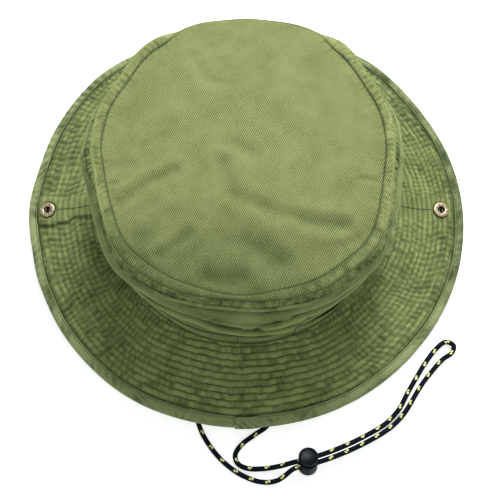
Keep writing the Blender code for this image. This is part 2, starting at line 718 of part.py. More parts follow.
def main():
    clear_scene()
    materials = {
        "twill": make_material("cotton_twill", (0.115, 0.135, 0.050), 0.95),
        "binding": make_material("bias_binding", (0.150, 0.175, 0.075), 0.95),
        "sweatband": make_material("sweatband_cloth", (0.090, 0.105, 0.045), 0.95),
        "interlining": make_material("interlining", (0.500, 0.480, 0.400), 0.95),
        "cord": make_material("braided_cord", (0.012, 0.013, 0.020), 0.80),
        "plastic": make_material("black_plastic", (0.012, 0.012, 0.013), 0.40),
        "brass": make_material("antique_brass", (0.330, 0.230, 0.110), 0.40, 1.0),
        "steel": make_material("spring_steel", (0.550, 0.540, 0.520), 0.30, 1.0),
    }
    hat = make_empty("hat_frame", (0.0, 0.0, -TIP_HEIGHT))
    folds = {}
    for name, side in (("left", -1), ("right", 1)):
        place = (side * FOLD_X, 0.0, FOLD_HEIGHT)
        folds[name] = (make_empty("fold_" + name, place, hat), place)

    twill = materials["twill"]
    make_crown_tip(twill, hat)
    make_tip_seam_tape(materials["sweatband"], hat)
    walls = [
        make_wall_panel("crown_wall_front", 1, twill, hat),
        make_wall_panel("crown_wall_back", -1, twill, hat),
    ]
    oval_ring("sweatband", SWEATBAND_HALF_WIDTH, SWEATBAND_HALF_LENGTH, CLOTH,
              SWEATBAND_BOTTOM, SWEATBAND_TOP, materials["sweatband"], hat)
    oval_ring("foliage_band", BAND_HALF_WIDTH, BAND_HALF_LENGTH, CLOTH,
              BAND_BOTTOM, BAND_TOP, twill, hat)

    panels = make_brim(materials, hat, folds)
    for name, side in (("left", -1), ("right", 1)):
        seam_tape = make_side_seam_tape("side_seam_tape_" + name, side, materials["sweatband"], hat)
        fold, fold_at = folds[name]
        stud_at = make_snap(side, name, materials, panels, fold, fold_at, hat)
        make_stud_backing(side, name, stud_at, materials, walls, seam_tape, hat)
        make_cord_tab("cord_tab_" + name, side, twill, hat)

    pivot_at = (0.0, 0.0, CORD_PIVOT_HEIGHT)
    pivot = make_empty("cord_pivot", pivot_at, hat)
    make_chin_cord(materials["cord"], pivot, pivot_at)
    make_cord_lock(materials, make_lock_frame(pivot, pivot_at))


main()
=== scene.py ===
"""The looks of the boonie hat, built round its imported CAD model.

Lengths are in metres in the CAD's frame: +Z up, +Y the front of the hat, the origin in the crown's tip.
Cloth is drawn as dense closed meshes whose folds, puckers and quilting are computed here.
"""

import json
import math

import bmesh
import bpy
import numpy as np
from mathutils import Matrix, Vector


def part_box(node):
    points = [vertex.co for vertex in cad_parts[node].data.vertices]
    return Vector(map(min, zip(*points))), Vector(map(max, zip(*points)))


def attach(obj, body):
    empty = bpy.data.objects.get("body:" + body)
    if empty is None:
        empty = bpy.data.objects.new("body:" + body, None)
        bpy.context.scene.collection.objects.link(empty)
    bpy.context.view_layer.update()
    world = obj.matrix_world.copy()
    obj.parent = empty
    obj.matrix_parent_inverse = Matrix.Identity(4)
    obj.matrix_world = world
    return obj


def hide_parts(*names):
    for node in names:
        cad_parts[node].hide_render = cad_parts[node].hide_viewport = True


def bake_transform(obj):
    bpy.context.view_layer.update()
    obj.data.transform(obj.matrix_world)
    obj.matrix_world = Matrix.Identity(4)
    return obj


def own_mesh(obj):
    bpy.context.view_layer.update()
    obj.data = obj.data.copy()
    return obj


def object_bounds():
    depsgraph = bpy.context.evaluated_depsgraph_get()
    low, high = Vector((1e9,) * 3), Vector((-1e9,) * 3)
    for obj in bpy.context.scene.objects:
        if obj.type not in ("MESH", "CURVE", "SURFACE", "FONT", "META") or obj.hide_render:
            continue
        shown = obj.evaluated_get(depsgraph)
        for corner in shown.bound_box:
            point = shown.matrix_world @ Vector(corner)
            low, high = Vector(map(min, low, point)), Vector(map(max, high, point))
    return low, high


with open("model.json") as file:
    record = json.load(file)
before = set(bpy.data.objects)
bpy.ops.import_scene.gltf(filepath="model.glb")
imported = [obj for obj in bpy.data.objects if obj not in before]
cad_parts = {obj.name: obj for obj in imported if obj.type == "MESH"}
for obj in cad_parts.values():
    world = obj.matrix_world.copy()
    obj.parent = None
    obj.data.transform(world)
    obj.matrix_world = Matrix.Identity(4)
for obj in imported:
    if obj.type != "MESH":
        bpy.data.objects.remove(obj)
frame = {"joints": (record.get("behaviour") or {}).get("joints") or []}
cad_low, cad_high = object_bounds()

MM = 0.001
TAU = math.tau
FINE = 1.0

# ---------- sizes, from the frame where it has them

TABLE = cad_low.z                                   # the surface that the brim stands on
TIP_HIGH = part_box("crown_tip")[1]                   # half width, half length and top of the crown tip
BASE_WIDTH, BASE_LENGTH = 93.5 * MM, 99.1 * MM      # half sizes of the brim's inner oval
BASE_HEIGHT = TABLE + 19.9 * MM                     # of the middle of the brim's thickness there
EDGE_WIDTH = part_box("binding_right")[1].x
EDGE_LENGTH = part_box("binding_front")[1].y - 0.6 * MM
EDGE_MIDDLE = TABLE + 2.1 * MM                      # the middle of the edge where the brim stands
SIDE_RISE = 8.3 * MM
CORD_LIFT = 4.4 * MM
CORD_LIFT_CENTRE = math.radians(-93.0)
CORD_LIFT_FULL = math.radians(14.0)
CORD_LIFT_NONE = math.radians(34.0)

ROW_INSET = 9.0 * MM                                # the brim's first row of stitching, in from the edge
ROW_PITCH = 4.45 * MM                               # spacing of the rows at the back and the front
ROW_PITCH_LEFT = 4.10 * MM                          # and at the left and right sides
ROW_PITCH_RIGHT = 3.55 * MM
ROWS = 12
FIRST_ROW_RADIUS = 142.5 * MM
STITCH = 2.9 * MM                                   # the length of a stitch
QUILT_LOW = 0.50 * MM                               # the brim's half thickness in a stitched groove
QUILT_PUFF = 1.00 * MM                              # and how far the cloth puffs up between grooves
PUCKERS = 196                                       # puckers round each channel
SEAM_Y = -2.0 * MM                                  # of the brim's side seams, at the snaps
BINDING_WIDTH = 8.0 * MM
BINDING_ROW_RADIUS = 147.0 * MM
BINDING_JOIN_X = -7.0 * MM
# Millimetres round the hat for each radian, for the cloth's own coordinates.
AROUND = {"wall": 98.0, "band": 99.0, "sweatband": 93.0, "tip_tape": 90.0, "binding": 150.0}


def joint(name):
    return next(j for j in frame["joints"] if j["name"] == name)


# ---------- numbers and noise


def smooth(value):
    value = np.clip(value, 0.0, 1.0)
    return value * value * (3.0 - 2.0 * value)


def bell(value, width):
    return np.exp(-(value / width) ** 2)


def unit(vectors):
    return vectors / (np.linalg.norm(vectors, axis=-1, keepdims=True) + 1e-12)


def turned(angle, centre):
    """How far an angle is from a centre, from -pi to pi."""
    return (angle - centre + math.pi) % TAU - math.pi


def humps(angle, rows):
    """The sum of soft humps round the hat, each a centre and half width in degrees, and a height."""
    total = 0.0 * angle
    for centre, width, tall in rows:
        total += tall * bell(turned(angle, math.radians(centre)), math.radians(width))
    return total


def window(angle, centre, full, none):
    """1 within full degrees of a centre, falling to 0 at none degrees."""
    away = np.abs(turned(angle, math.radians(centre)))
    return smooth((math.radians(none) - away) / math.radians(none - full))


def lattice(column, row, seed):
    """A repeatable number from 0 to 1 for each whole-number place."""
    mixed = np.sin(column * 127.1 + row * 311.7 + seed * 74.7) * 43758.5453
    return mixed - np.floor(mixed)


def noise(u, v, seed, wrap=None):
    """Smooth noise from -1 to 1 with cells one unit across; wrap is u's period, in whole cells."""
    left, low = np.floor(u), np.floor(v)
    along, up = u - left, v - low
    along, up = along * along * (3 - 2 * along), up * up * (3 - 2 * up)
    right = left + 1
    if wrap:
        left, right = left % wrap, right % wrap
    bottom = lattice(left, low, seed) * (1 - along) + lattice(right, low, seed) * along
    top = lattice(left, low + 1, seed) * (1 - along) + lattice(right, low + 1, seed) * along
    return (bottom * (1 - up) + top * up) * 2 - 1


def round_noise(angle, v, cells, seed):
    """Noise round the hat, with a whole number of cells in a turn."""
    return noise((angle % TAU) / TAU * cells, v, seed, wrap=cells)


def crease(x, y, path, width, depth, shoulder=0.35):
    """A soft valley along a path, with a low ridge on each side."""
    nearest = np.full(np.shape(x), 1e9)
    for (x0, y0), (x1, y1) in zip(path, path[1:]):
        dx, dy = x1 - x0, y1 - y0
        share = np.clip(((x - x0) * dx + (y - y0) * dy) / (dx * dx + dy * dy), 0, 1)
        nearest = np.minimum(nearest, np.hypot(x - x0 - share * dx, y - y0 - share * dy))
    return -depth * bell(nearest, width) + depth * shoulder * bell(nearest - 2.1 * width, width)


def curve_through(heights, sizes, at):
    """A smooth curve through a few (height, size) points."""
    dense = np.linspace(heights[0], heights[-1], 400)
    values = np.interp(dense, heights, sizes)
    kernel = np.hanning(41)
    kernel /= kernel.sum()
    padded = np.concatenate([np.full(20, values[0]), values, np.full(20, values[-1])])
    return np.interp(at, dense, np.convolve(padded, kernel, mode="valid"))


# ---------- meshes


def added(name, data):
    """A new object in the scene."""
    made = bpy.data.objects.new(name, data)
    bpy.context.scene.collection.objects.link(made)
    return made


def put(name, mesh, material, body=None, nodes=()):
    """A visible piece that rides on a body, in place of CAD nodes."""
    mesh.materials.append(material)
    piece = added(name, mesh)
    if nodes:
        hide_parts(*nodes)
    if body:
        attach(piece, body)
    return piece


def mesh_from(bm, name):
    mesh = bpy.data.meshes.new(name)
    bm.to_mesh(mesh)
    bm.free()
    return mesh


def shade_round(mesh, sharp):
    """Smooth shading, apart from edges sharper than so many degrees."""
    mesh.shade_smooth()
    mesh.set_sharp_from_angle(angle=math.radians(sharp))


def mesh_of(name, points, quads, extra, weave=None, normals=None):
    """A mesh from arrays of quads and a list of other faces. weave holds the cloth's own coordinates in mm,
    and its relief, at each point."""
    mesh = bpy.data.meshes.new(name)
    corners = np.concatenate([quads.ravel()] + list(extra))
    totals = np.concatenate([np.full(len(quads), 4), [len(face) for face in extra]]).astype(np.int32)
    starts = np.concatenate([[0], np.cumsum(totals)[:-1]]).astype(np.int32)
    mesh.vertices.add(len(points))
    mesh.vertices.foreach_set("co", np.asarray(points, np.float32).ravel())
    mesh.loops.add(len(corners))
    mesh.loops.foreach_set("vertex_index", corners.astype(np.int32))
    mesh.polygons.add(len(totals))
    mesh.polygons.foreach_set("loop_start", starts)
    mesh.update(calc_edges=True)
    mesh.validate()
    mesh.shade_smooth()
    if weave is not None:
        layer = mesh.attributes.new("weave", "FLOAT_VECTOR", "POINT")
        layer.data.foreach_set("vector", np.asarray(weave, np.float32).ravel())
    if normals is not None:
        mesh.normals_split_custom_set_from_vertices(normals.tolist())
    return mesh


def signed_volume(points, quads):
    a, b, c, d = (points[quads[:, i]] for i in range(4))
    first = np.einsum("ij,ij->i", a, np.cross(b, c)).sum()
    return first + np.einsum("ij,ij->i", a, np.cross(c, d)).sum()


def grid_mesh(name, grid, weave=None, around=True, closed_outline=True, normals=None):
    """Skins a grid of points (outline, station, 3). around joins the last station to the first, and
    closed_outline the outline's ends; ends left open get a cap, so the mesh is always closed."""
    outline, stations = grid.shape[:2]
    index = np.arange(outline * stations).reshape(outline, stations)
    rows = np.vstack([index, index[:1]]) if closed_outline else index
    rows = np.hstack([rows, rows[:, :1]]) if around else rows
    quads = np.stack([rows[:-1, :-1], rows[1:, :-1], rows[1:, 1:], rows[:-1, 1:]], -1).reshape(-1, 4)
    caps = []
    if not around:
        caps = [index[:, 0][::-1], index[:, -1]]
    elif not closed_outline:
        caps = [index[0], index[-1][::-1]]
    points = grid.reshape(-1, 3)
    if signed_volume(points - points.mean(0), quads) < 0:
        quads = quads[:, ::-1]
        caps = [cap[::-1] for cap in caps]
    weave, normals = (None if part is None else part.reshape(-1, 3) for part in (weave, normals))
    return mesh_of(name, points, quads, caps, weave, normals)


def grid_normals(grid):
    """Outward normals of a grid whose outline and stations are both closed."""
    along = np.roll(grid, -1, 1) - np.roll(grid, 1, 1)
    across = np.roll(grid, -1, 0) - np.roll(grid, 1, 0)
    normals = unit(np.cross(along, across))
    facing = np.einsum("ijk,ijk->ij", normals, grid - grid.mean(0, keepdims=True)).sum()
    return normals if facing > 0 else -normals


def stacked(*parts):
    return np.stack(np.broadcast_arrays(*parts), -1)


def oval(angle, width, length, height):
    return stacked(width * np.cos(angle), length * np.sin(angle), height)


def ring_angles(columns):
    """Evenly spaced angles of a whole turn, as a row."""
    columns = int(columns * FINE)
    return (np.arange(columns) / columns * TAU)[None, :]


def scaled(outline):
    return [(a * MM, b * MM) for a, b in outline]


def lathe(name, outline, segments):
    """Turns an outline of (radius, height) points, outside first, about Z."""
    bm = bmesh.new()
    points = [bm.verts.new((radius, 0.0, height)) for radius, height in outline]
    edges = [bm.edges.new(pair) for pair in zip(points, points[1:])]
    if outline[0][0] > 0.0:
        edges.append(bm.edges.new((points[-1], points[0])))
    bmesh.ops.spin(bm, geom=points + edges, axis=(0, 0, 1), cent=(0, 0, 0), steps=segments,
                   angle=TAU, use_merge=True)
    bmesh.ops.remove_doubles(bm, verts=bm.verts, dist=1e-7)
    bmesh.ops.recalc_face_normals(bm, faces=bm.faces)
    mesh = mesh_from(bm, name)
    shade_round(mesh, 38.0)
    return mesh


def block(low, high):
    """A box between two corners."""
    bm = bmesh.new()
    place = Matrix.Translation((low + high) / 2) @ Matrix.Diagonal((*(high - low), 1.0))
    bmesh.ops.create_cube(bm, size=1.0, matrix=place)
    return bm


# ---------- threads


def stitch_mesh(name, starts, ends, normals, radius=0.19 * MM, gap=0.16, sides=5):
    """One rounded capsule for each stitch, from start to end. gap is the bare share at each end."""
    along = ends - starts
    first, last = starts + along * gap, ends - along * gap
    side, up = unit(np.cross(along, normals)), unit(normals)
    arch = np.linalg.norm(along, axis=-1, keepdims=True) * 0.05
    rings = [starts + along * (gap * 0.45)]
    for middle, size in ((first, 0.8), ((first + last) / 2 + up * arch, 1.0), (last, 0.8)):
        for i in range(sides):
            turn = TAU * i / sides
            rings.append(middle + (side * math.cos(turn) + up * math.sin(turn)) * radius * size)
    rings.append(ends - along * (gap * 0.45))
    points = np.stack(rings, 1)
    count = points.shape[1]
    quads, ends_fan = [], []
    for i in range(sides):
        j = (i + 1) % sides
        for ring in (0, 1):
            base = 1 + ring * sides
            quads.append((base + i, base + j, base + sides + j, base + sides + i))
        ends_fan.append((0, 1 + j, 1 + i))
        ends_fan.append((count - 1, 1 + 2 * sides + i, 1 + 2 * sides + j))
    shift = (np.arange(len(points)) * count)[:, None, None]
    quads = (np.array(quads)[None] + shift).reshape(-1, 4)
    fans = (np.array(ends_fan)[None] + shift).reshape(-1, 3)
    flat = points.reshape(-1, 3)
    if signed_volume(flat[:count] - flat[:count].mean(0), quads[:2 * sides]) < 0:
        quads, fans = quads[:, ::-1], fans[:, ::-1]
    return mesh_of(name, flat, quads, list(fans))


def stitches_along(points, normals, lift):
    """Ends and normals of a row of stitches through surface points, raised off the cloth."""
    raised = points + normals * lift
    return raised[:-1], raised[1:], normals[:-1]


def sew(name, rows, body=None):
    """One piece of thread from rows of stitches."""
    starts, ends, normals = [np.concatenate(part) for part in zip(*rows)]
    return put(name, stitch_mesh(name, starts, ends, normals), THREAD, body)


# ---------- materials


class Shader:
    """A material and short ways to add nodes to it. Inputs are values or other nodes' outputs."""

    def __init__(self, name):
        self.material = bpy.data.materials.new(name)
        self.material.use_nodes = True
        self.tree = self.material.node_tree
        self.main = self.tree.nodes["Principled BSDF"]

    def fill(self, node, inputs):
        for key, value in inputs.items():
            if isinstance(value, bpy.types.NodeSocket):
                self.tree.links.new(value, node.inputs[key])
            else:
                node.inputs[key].default_value = value

    def node(self, kind, inputs, **settings):
        node = self.tree.nodes.new("ShaderNode" + kind)
        for key, value in settings.items():
            setattr(node, key, value)
        self.fill(node, inputs)
        return node.outputs

    def maths(self, operation, first, second=0.0, third=0.0):
        return self.node("Math", {0: first, 1: second, 2: third}, operation=operation)[0]

    def scaled_sum(self, first, factor, second):
        return self.maths("MULTIPLY_ADD", first, factor, second)

    def noise(self, place, scale, detail, roughness=0.5):
        inputs = {"Vector": place, "Scale": scale, "Detail": detail, "Roughness": roughness}
        return self.node("TexNoise", inputs)[0]

    def mix(self, first, second, share):
        """A mix of two colours, each three numbers or another node's output."""
        first, second = ((*c, 1.0) if isinstance(c, (tuple, list)) else c for c in (first, second))
        return self.node("Mix", {"A": first, "B": second, 0: share}, data_type="RGBA")["Result"]

    def place(self):
        return self.node("TexCoord", {})["Object"]

    def weave(self):
        """The cloth's own coordinates and relief, from the mesh."""
        vector = self.node("Attribute", {}, attribute_name="weave")["Vector"]
        return list(self.node("SeparateXYZ", {0: vector}))

    def finish(self, height, strength, distance, **inputs):
        """Sets the main shader's inputs, given with _ for a space, and the bump, whose distance is in mm."""
        if height is not None:
            bump = {"Height": height, "Strength": strength, "Distance": distance * MM}
            inputs["Normal"] = self.node("Bump", bump)[0]
        self.fill(self.main, {key.replace("_", " "): value for key, value in inputs.items()})
        return self.material


def stripes(shader, u, v, angle, period):
    """A sine across the cloth, from -1 to 1; the period is in mm."""
    scale = TAU / period
    across = shader.maths("MULTIPLY", u, math.cos(angle) * scale)
    return shader.maths("SINE", shader.scaled_sum(v, math.sin(angle) * scale, across))


def cloth_material(name, dark, light, twill_angle=-28.0, twill_period=1.30, twill_share=0.16,
                   relief_share=0.36, mottle_share=0.30, fibre_share=0.12, sheen=0.22, edge=(9.0, 0.60),
                   worn_from=None):
    """Washed cotton twill with diagonal ribs and uneven dye, painted paler on its ridges and darker in its
    grooves from the mesh's relief: painted highlight and painted shade, partly real wear.
    worn_from is where the ribs start to fade, in mm, and edge the power and share of a painted sheen that
    makes the cloth paler where it turns away from the camera."""
    shader = Shader(name)
    u, v, relief = shader.weave()
    flat = shader.node("CombineXYZ", {0: u, 1: v})[0]
    bent = shader.scaled_sum(shader.noise(flat, 0.35, 2.0), 1.3, u)
    ribs = stripes(shader, bent, v, math.radians(twill_angle), twill_period)
    threads = stripes(shader, bent, v, math.radians(twill_angle + 68.0), twill_period * 0.85)
    twill = shader.scaled_sum(threads, 0.50, ribs)
    if worn_from is not None:
        fade = {"Value": shader.scaled_sum(u, 0.6, v), "From Min": worn_from, "From Max": worn_from + 60.0,
                "To Min": 1.0, "To Max": 0.45}
        fade = shader.node("MapRange", fade, interpolation_type="SMOOTHSTEP")[0]
        twill = shader.maths("MULTIPLY", twill, fade)
    broad = shader.noise(flat, 0.055, 4.0, 0.6)
    slubs = shader.noise(flat, 0.9, 3.0, 0.7)
    fibres = shader.noise(flat, 4.5, 2.0)
    # Painted highlight and shade: the relief makes ridges paler and grooves darker; on the ridges this is
    # partly real wear.
    shade = shader.scaled_sum(relief, relief_share, 0.5)
    shade = shader.scaled_sum(twill, twill_share, shade)
    for layer, share in ((broad, mottle_share * 1.6), (slubs, mottle_share), (fibres, fibre_share)):
        shade = shader.scaled_sum(shader.maths("SUBTRACT", layer, 0.5), share, shade)
    # Painted sheen: the base colour is made paler where the surface turns away from the camera.
    facing = shader.node("LayerWeight", {"Blend": 0.5})["Facing"]
    shade = shader.scaled_sum(shader.maths("POWER", facing, edge[0]), edge[1], shade)
    # Here the value is only the cloth's uneven fading toward a pale, washed green.
    fade_and_painted_light = shader.maths("MULTIPLY", shader.scaled_sum(broad, 1.6, -0.45), 0.22)
    washed = shader.mix(shader.mix(dark, light, shade), (0.30, 0.36, 0.19), fade_and_painted_light)
    height = shader.scaled_sum(fibres, 0.8, twill)
    return shader.finish(height, 0.55, 0.10, Base_Color=washed, Roughness=0.92, Specular_IOR_Level=0.20,
                         Sheen_Weight=sheen, Sheen_Roughness=0.45, Sheen_Tint=(0.80, 0.95, 0.70, 1.0))


def thread_material(name, colour):
    shader = Shader(name)
    twist = shader.noise(shader.place(), 1800.0, 2.0)
    shade = shader.mix([c * 0.6 for c in colour], colour, twist)
    return shader.finish(twist, 0.4, 0.05, Base_Color=shade, Roughness=0.75)


def brass_material(name, pale):
    """Antiqued brass: dark in its hollows and pale where it is rubbed."""
    shader = Shader(name)
    patina = shader.noise(shader.place(), 900.0, 5.0, 0.65)
    hollows = shader.node("AmbientOcclusion", {"Distance": 3.0 * MM}, samples=8)["AO"]
    wear_and_highlight = shader.maths("MULTIPLY", hollows, shader.scaled_sum(patina, 1.1, 0.25))
    share = shader.node("MapRange", {"Value": wear_and_highlight, "From Min": 0.40, "From Max": 0.92})[0]
    return shader.finish(patina, 0.25, 0.06, Base_Color=shader.mix((0.012, 0.008, 0.004), pale, share),
                         Metallic=0.75, Roughness=shader.scaled_sum(patina, 0.3, 0.25))


def steel_material():
    shader = Shader("spring_wire")
    drawn = shader.noise(shader.place(), 2500.0, 2.0)
    return shader.finish(None, 0.0, 0.0, Base_Color=(0.62, 0.60, 0.56, 1.0), Metallic=1.0,
                         Roughness=shader.scaled_sum(drawn, 0.25, 0.15))


def plastic_material():
    """Black moulded plastic with a fine satin texture."""
    shader = Shader("black_plastic")
    scuffs = shader.noise(shader.place(), 260.0, 5.0)
    colour = shader.mix((0.001, 0.003, 0.007), (0.004, 0.009, 0.016), scuffs)
    return shader.finish(shader.noise(shader.place(), 1600.0, 3.0), 0.3, 0.05, Base_Color=colour,
                         Specular_IOR_Level=0.07, Roughness=shader.scaled_sum(scuffs, 0.30, 0.12))


def cord_material():
    """Black braided yarn with yellow and cream tracer yarns, chosen by the braid's own fleck value."""
    shader = Shader("braided_cord")
    along, round_it, fleck = shader.weave()
    yarn = shader.noise(shader.node("CombineXYZ", {0: along, 1: round_it})[0], 9.0, 3.0)
    black = shader.mix((0.001, 0.003, 0.007), (0.006, 0.010, 0.021), yarn)
    tracer = shader.mix((0.86, 0.85, 0.22), (0.94, 0.95, 0.70), shader.maths("GREATER_THAN", fleck, 1.5))
    colour = shader.mix(black, tracer, shader.maths("GREATER_THAN", fleck, 0.5))
    return shader.finish(yarn, 0.5, 0.08, Base_Color=colour, Roughness=0.85, Specular_IOR_Level=0.15,
                         Sheen_Weight=0.02)


TIP_TWILL = cloth_material("tip_twill", (0.050, 0.076, 0.018), (0.405, 0.430, 0.170),
                           twill_period=1.2, twill_share=0.34, worn_from=20.0)
# The wall's twill gets a strong painted sheen at its edges, where it turns away from the camera.
TWILL = cloth_material("cotton_twill", (0.020, 0.038, 0.007), (0.290, 0.345, 0.118), twill_period=1.9,
                       twill_share=0.04, relief_share=0.46, mottle_share=0.55, sheen=0.04, fibre_share=0.30,
                       edge=(7.0, 0.85))
QUILTED = cloth_material("quilted_twill", (0.022, 0.040, 0.006), (0.340, 0.385, 0.140), twill_period=1.1,
                         twill_share=0.08, relief_share=0.46, mottle_share=0.42, fibre_share=0.30)
BIAS = cloth_material("bias_twill", (0.040, 0.064, 0.020), (0.350, 0.395, 0.180), 20.0, twill_period=0.9,
                      relief_share=0.50, mottle_share=1.20, fibre_share=0.90)
LINING = cloth_material("sweatband_cloth", (0.060, 0.080, 0.022), (0.300, 0.340, 0.130), 90.0,
                        twill_period=0.6, twill_share=0.10)
# The thread is a dark olive, kept darker than the cloth so that the stitch lines also stand for the shade in
# their grooves: partly its own colour, partly painted shade.
THREAD = thread_material("olive_thread", (0.080, 0.100, 0.030))
BRASS = brass_material("antique_brass", (0.78, 0.62, 0.40))
CAP_BRASS = brass_material("aged_brass", (0.56, 0.42, 0.20))
# Near-black brass: painted shade for the inside of the snap's hole.
HOLE_SHADE = brass_material("painted_hole_shade", (0.006, 0.005, 0.004))
STEEL = steel_material()
PLASTIC = plastic_material()
CORD = cord_material()

# ---------- brim

# The soft brim's edge isn't a true oval: centre and half width in degrees, and how far it stands out.
EDGE_WAVES = [(-20, 24, 1.4), (30, 13, -1.0), (52, 9, 1.4), (134, 13, 2.5), (167, 8, -1.5), (192, 8, -1.6),
              (206, 7, -0.8), (240, 15, 1.0)]


def brim_line(angle, edge):
    """The line out across the brim to a point of its edge: its foot, direction, normal and length."""
    foot = oval(angle, BASE_WIDTH, BASE_LENGTH, BASE_HEIGHT)
    along = edge - foot
    length = np.linalg.norm(along, axis=-1)
    along = along / length[..., None]
    level = unit(stacked(-along[..., 1], along[..., 0], 0.0 * angle))
    return foot, along, np.cross(along, level), length


def brim_frame(angle):
    """The line out across the soft, wavy brim at each angle."""
    side = np.maximum(0.0, (np.cos(angle) ** 2 - 0.15) / 0.85) ** 1.3
    away = np.abs(turned(angle, CORD_LIFT_CENTRE))
    lift = smooth((CORD_LIFT_NONE - away) / (CORD_LIFT_NONE - CORD_LIFT_FULL))
    wave = round_noise(angle, 0.5, 14, 3) * 0.5 + round_noise(angle, 0.5, 37, 4) * 0.25
    height = EDGE_MIDDLE + SIDE_RISE * side + CORD_LIFT * lift + (wave + 0.3) * 0.9 * MM * (1 - lift)
    reach = 1.0 + round_noise(angle, 0.5, 11, 5) * 0.0035 - 0.002
    reach += MM / EDGE_WIDTH * humps(angle, EDGE_WAVES)
    return brim_line(angle, oval(angle, EDGE_WIDTH * reach, EDGE_LENGTH * reach, height))


# Where the seam allowance ends under the left of the brim, and its cloth steps down, with a painted shadow
# below the step.
SEAM_STEP = [(-0.150, -0.0128), (-0.138, -0.0138), (-0.131, -0.0128), (-0.1242, -0.0125), (-0.1205, -0.0087),
             (-0.1095, -0.0084), (-0.095, -0.0080)]


def row_pitch(angle):
    side = np.where(np.cos(angle) > 0, ROW_PITCH_RIGHT, ROW_PITCH_LEFT)
    return ROW_PITCH + (side - ROW_PITCH) * np.cos(angle) ** 2


def row_drift(angle, face):
    """How far the stitching wanders from its line, as a share of a row."""
    seed = 10 if face > 0 else 20
    return round_noise(angle, 0.5, 23, seed) * 0.13 + round_noise(angle, 0.5, 88, seed + 1) * 0.09


def seam_height_on_brim(x):
    """The side seams' y at each x: level under the snaps, then climbing a little toward the crown."""
    return SEAM_Y + 4.0 * MM * smooth((0.122 - np.abs(x)) / 0.03)


def from_snap(x, y):
    """How far places are from the nearer snap's middle, seen from above."""
    middles = [sum(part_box("snap_socket_" + side), Vector()) / 2 for side in ("left", "right")]
    return np.minimum(*[np.hypot(x - middle.x, y - middle.y) for middle in middles])


def pressed_flat(x, y):
    """0 under the snaps, where the quilting is clamped flat, and 1 away from them."""
    return smooth((from_snap(x, y) - 5.2 * MM) / (1.6 * MM))


def quilting(angle, out, length, face):
    """Half thickness of the stitched brim at each place, and its relief, which is the colour's painted
    highlight on the ridges, partly real wear, and painted shade in the grooves.
    face is 1 for the top and -1 for the underside."""
    seed = 10 if face > 0 else 20
    channel = (length - ROW_INSET - out) / row_pitch(angle) + row_drift(angle, face)
    channel += 0.13 * round_noise(angle, channel * 0.7, 210, seed + 7)
    row = np.floor(channel)
    across = np.sin(math.pi * (channel - row)) ** 2
    x = np.cos(angle) * (BASE_WIDTH + out)
    y = np.sin(angle) * (BASE_LENGTH + out * 0.97)
    back = window(angle, -90, 18, 42) * (0.86 + 0.14 * round_noise(angle, 0.5, 30, seed + 8))
    seam_line = seam_height_on_brim(x)
    calm = smooth((np.abs(y - seam_line - 0.5 * MM) - 7.0 * MM) / (2.5 * MM))
    column = (angle % TAU) / TAU * PUCKERS
    column += 1.2 * round_noise(angle, out / (17.0 * MM), 29, seed + 2)
    column += (0.34 + 1.1 * back) * round_noise(angle, row * 1.37, 60, seed + 3)
    strength = 0.74 + 0.40 * round_noise(angle, row * 1.1, 121, seed + 4)
    valley = 0.5 + 0.5 * np.cos(TAU * column)
    puff = back * (1.0 - bell(across, 0.12)) + (1.0 - back) * across
    left = window(angle, 180, 50, 90)
    groove = 0.74 * back + (1.0 - back) * (0.40 - 0.08 * left)
    pucker = calm * strength * (0.16 * back + (1.0 - back) * (0.58 + 0.08 * left))
    lumps = 0.42 * round_noise(angle, row * 1.9, 190, seed + 5)
    lumps += 0.12 * round_noise(angle, row / 4, 40, seed + 6)
    raised = (1.0 - groove * (1.0 - puff)) * (1.0 - pucker * valley) + lumps * puff * (0.4 + 0.6 * calm)
    inside = smooth((length - BINDING_WIDTH + 0.6 * MM - out) / (1.2 * MM))
    outside = smooth((out + 0.5 * MM) / (2.0 * MM))
    raised = raised * (0.25 + 0.75 * inside * outside)
    step = 0.0 * x
    # Painted highlight and shade: the raised cloth is made paler and the grooves darker.
    middle = 0.52 + 0.14 * back + 0.14 * (1.0 - calm)
    # Painted shadow: a dark line is painted on the brim along the binding's inner edge.
    to_tape = length - BINDING_WIDTH * binding_scale(angle) - out
    relief = (raised - middle) * (1.50 + 0.45 * back) - 0.9 * bell(to_tape - 0.2 * MM, 0.5 * MM)
    relief += 0.24 * round_noise(angle, channel * 1.3, 240, seed + 9) * calm
    # The relief is raised toward the back and lowered elsewhere, most at the front, so the brim is paler at
    # the back.
    relief += 0.14 * window(angle, -90, 45, 75) - 0.16 * window(angle, 90, 60, 100)
    relief -= 0.10 * (1.0 - back)
    if face > 0:
        reach = np.interp(x, *np.array(SEAM_STEP).T)
        step = smooth((y - reach) / (1.6 * MM)) * smooth((9.0 * MM - y) / (3.0 * MM)) * smooth(-x / 0.05)
        # Painted shadow: a dark band is painted on the brim just below the seam allowance's step.
        relief -= 1.25 * bell(y - (reach - 0.4 * MM), 1.1 * MM) * smooth(-x / 0.05)
    raised = (raised + step * 0.85) * pressed_flat(x, y)
    return QUILT_LOW + QUILT_PUFF * raised, np.clip(relief, -1.1, 1.2)


def brim_surface(angle, out, face):
    foot, along, normal, length = brim_frame(angle)
    half, relief = quilting(angle, out, length, face)
    inside = smooth(out / (20 * MM)) * smooth((length - out) / (20 * MM))
    roll = round_noise(angle, out / (30 * MM), 17, 6) * 0.5 * MM * inside
    place = foot + along * out[..., None] + normal * (face * half + roll)[..., None]
    return place, normal * face, relief


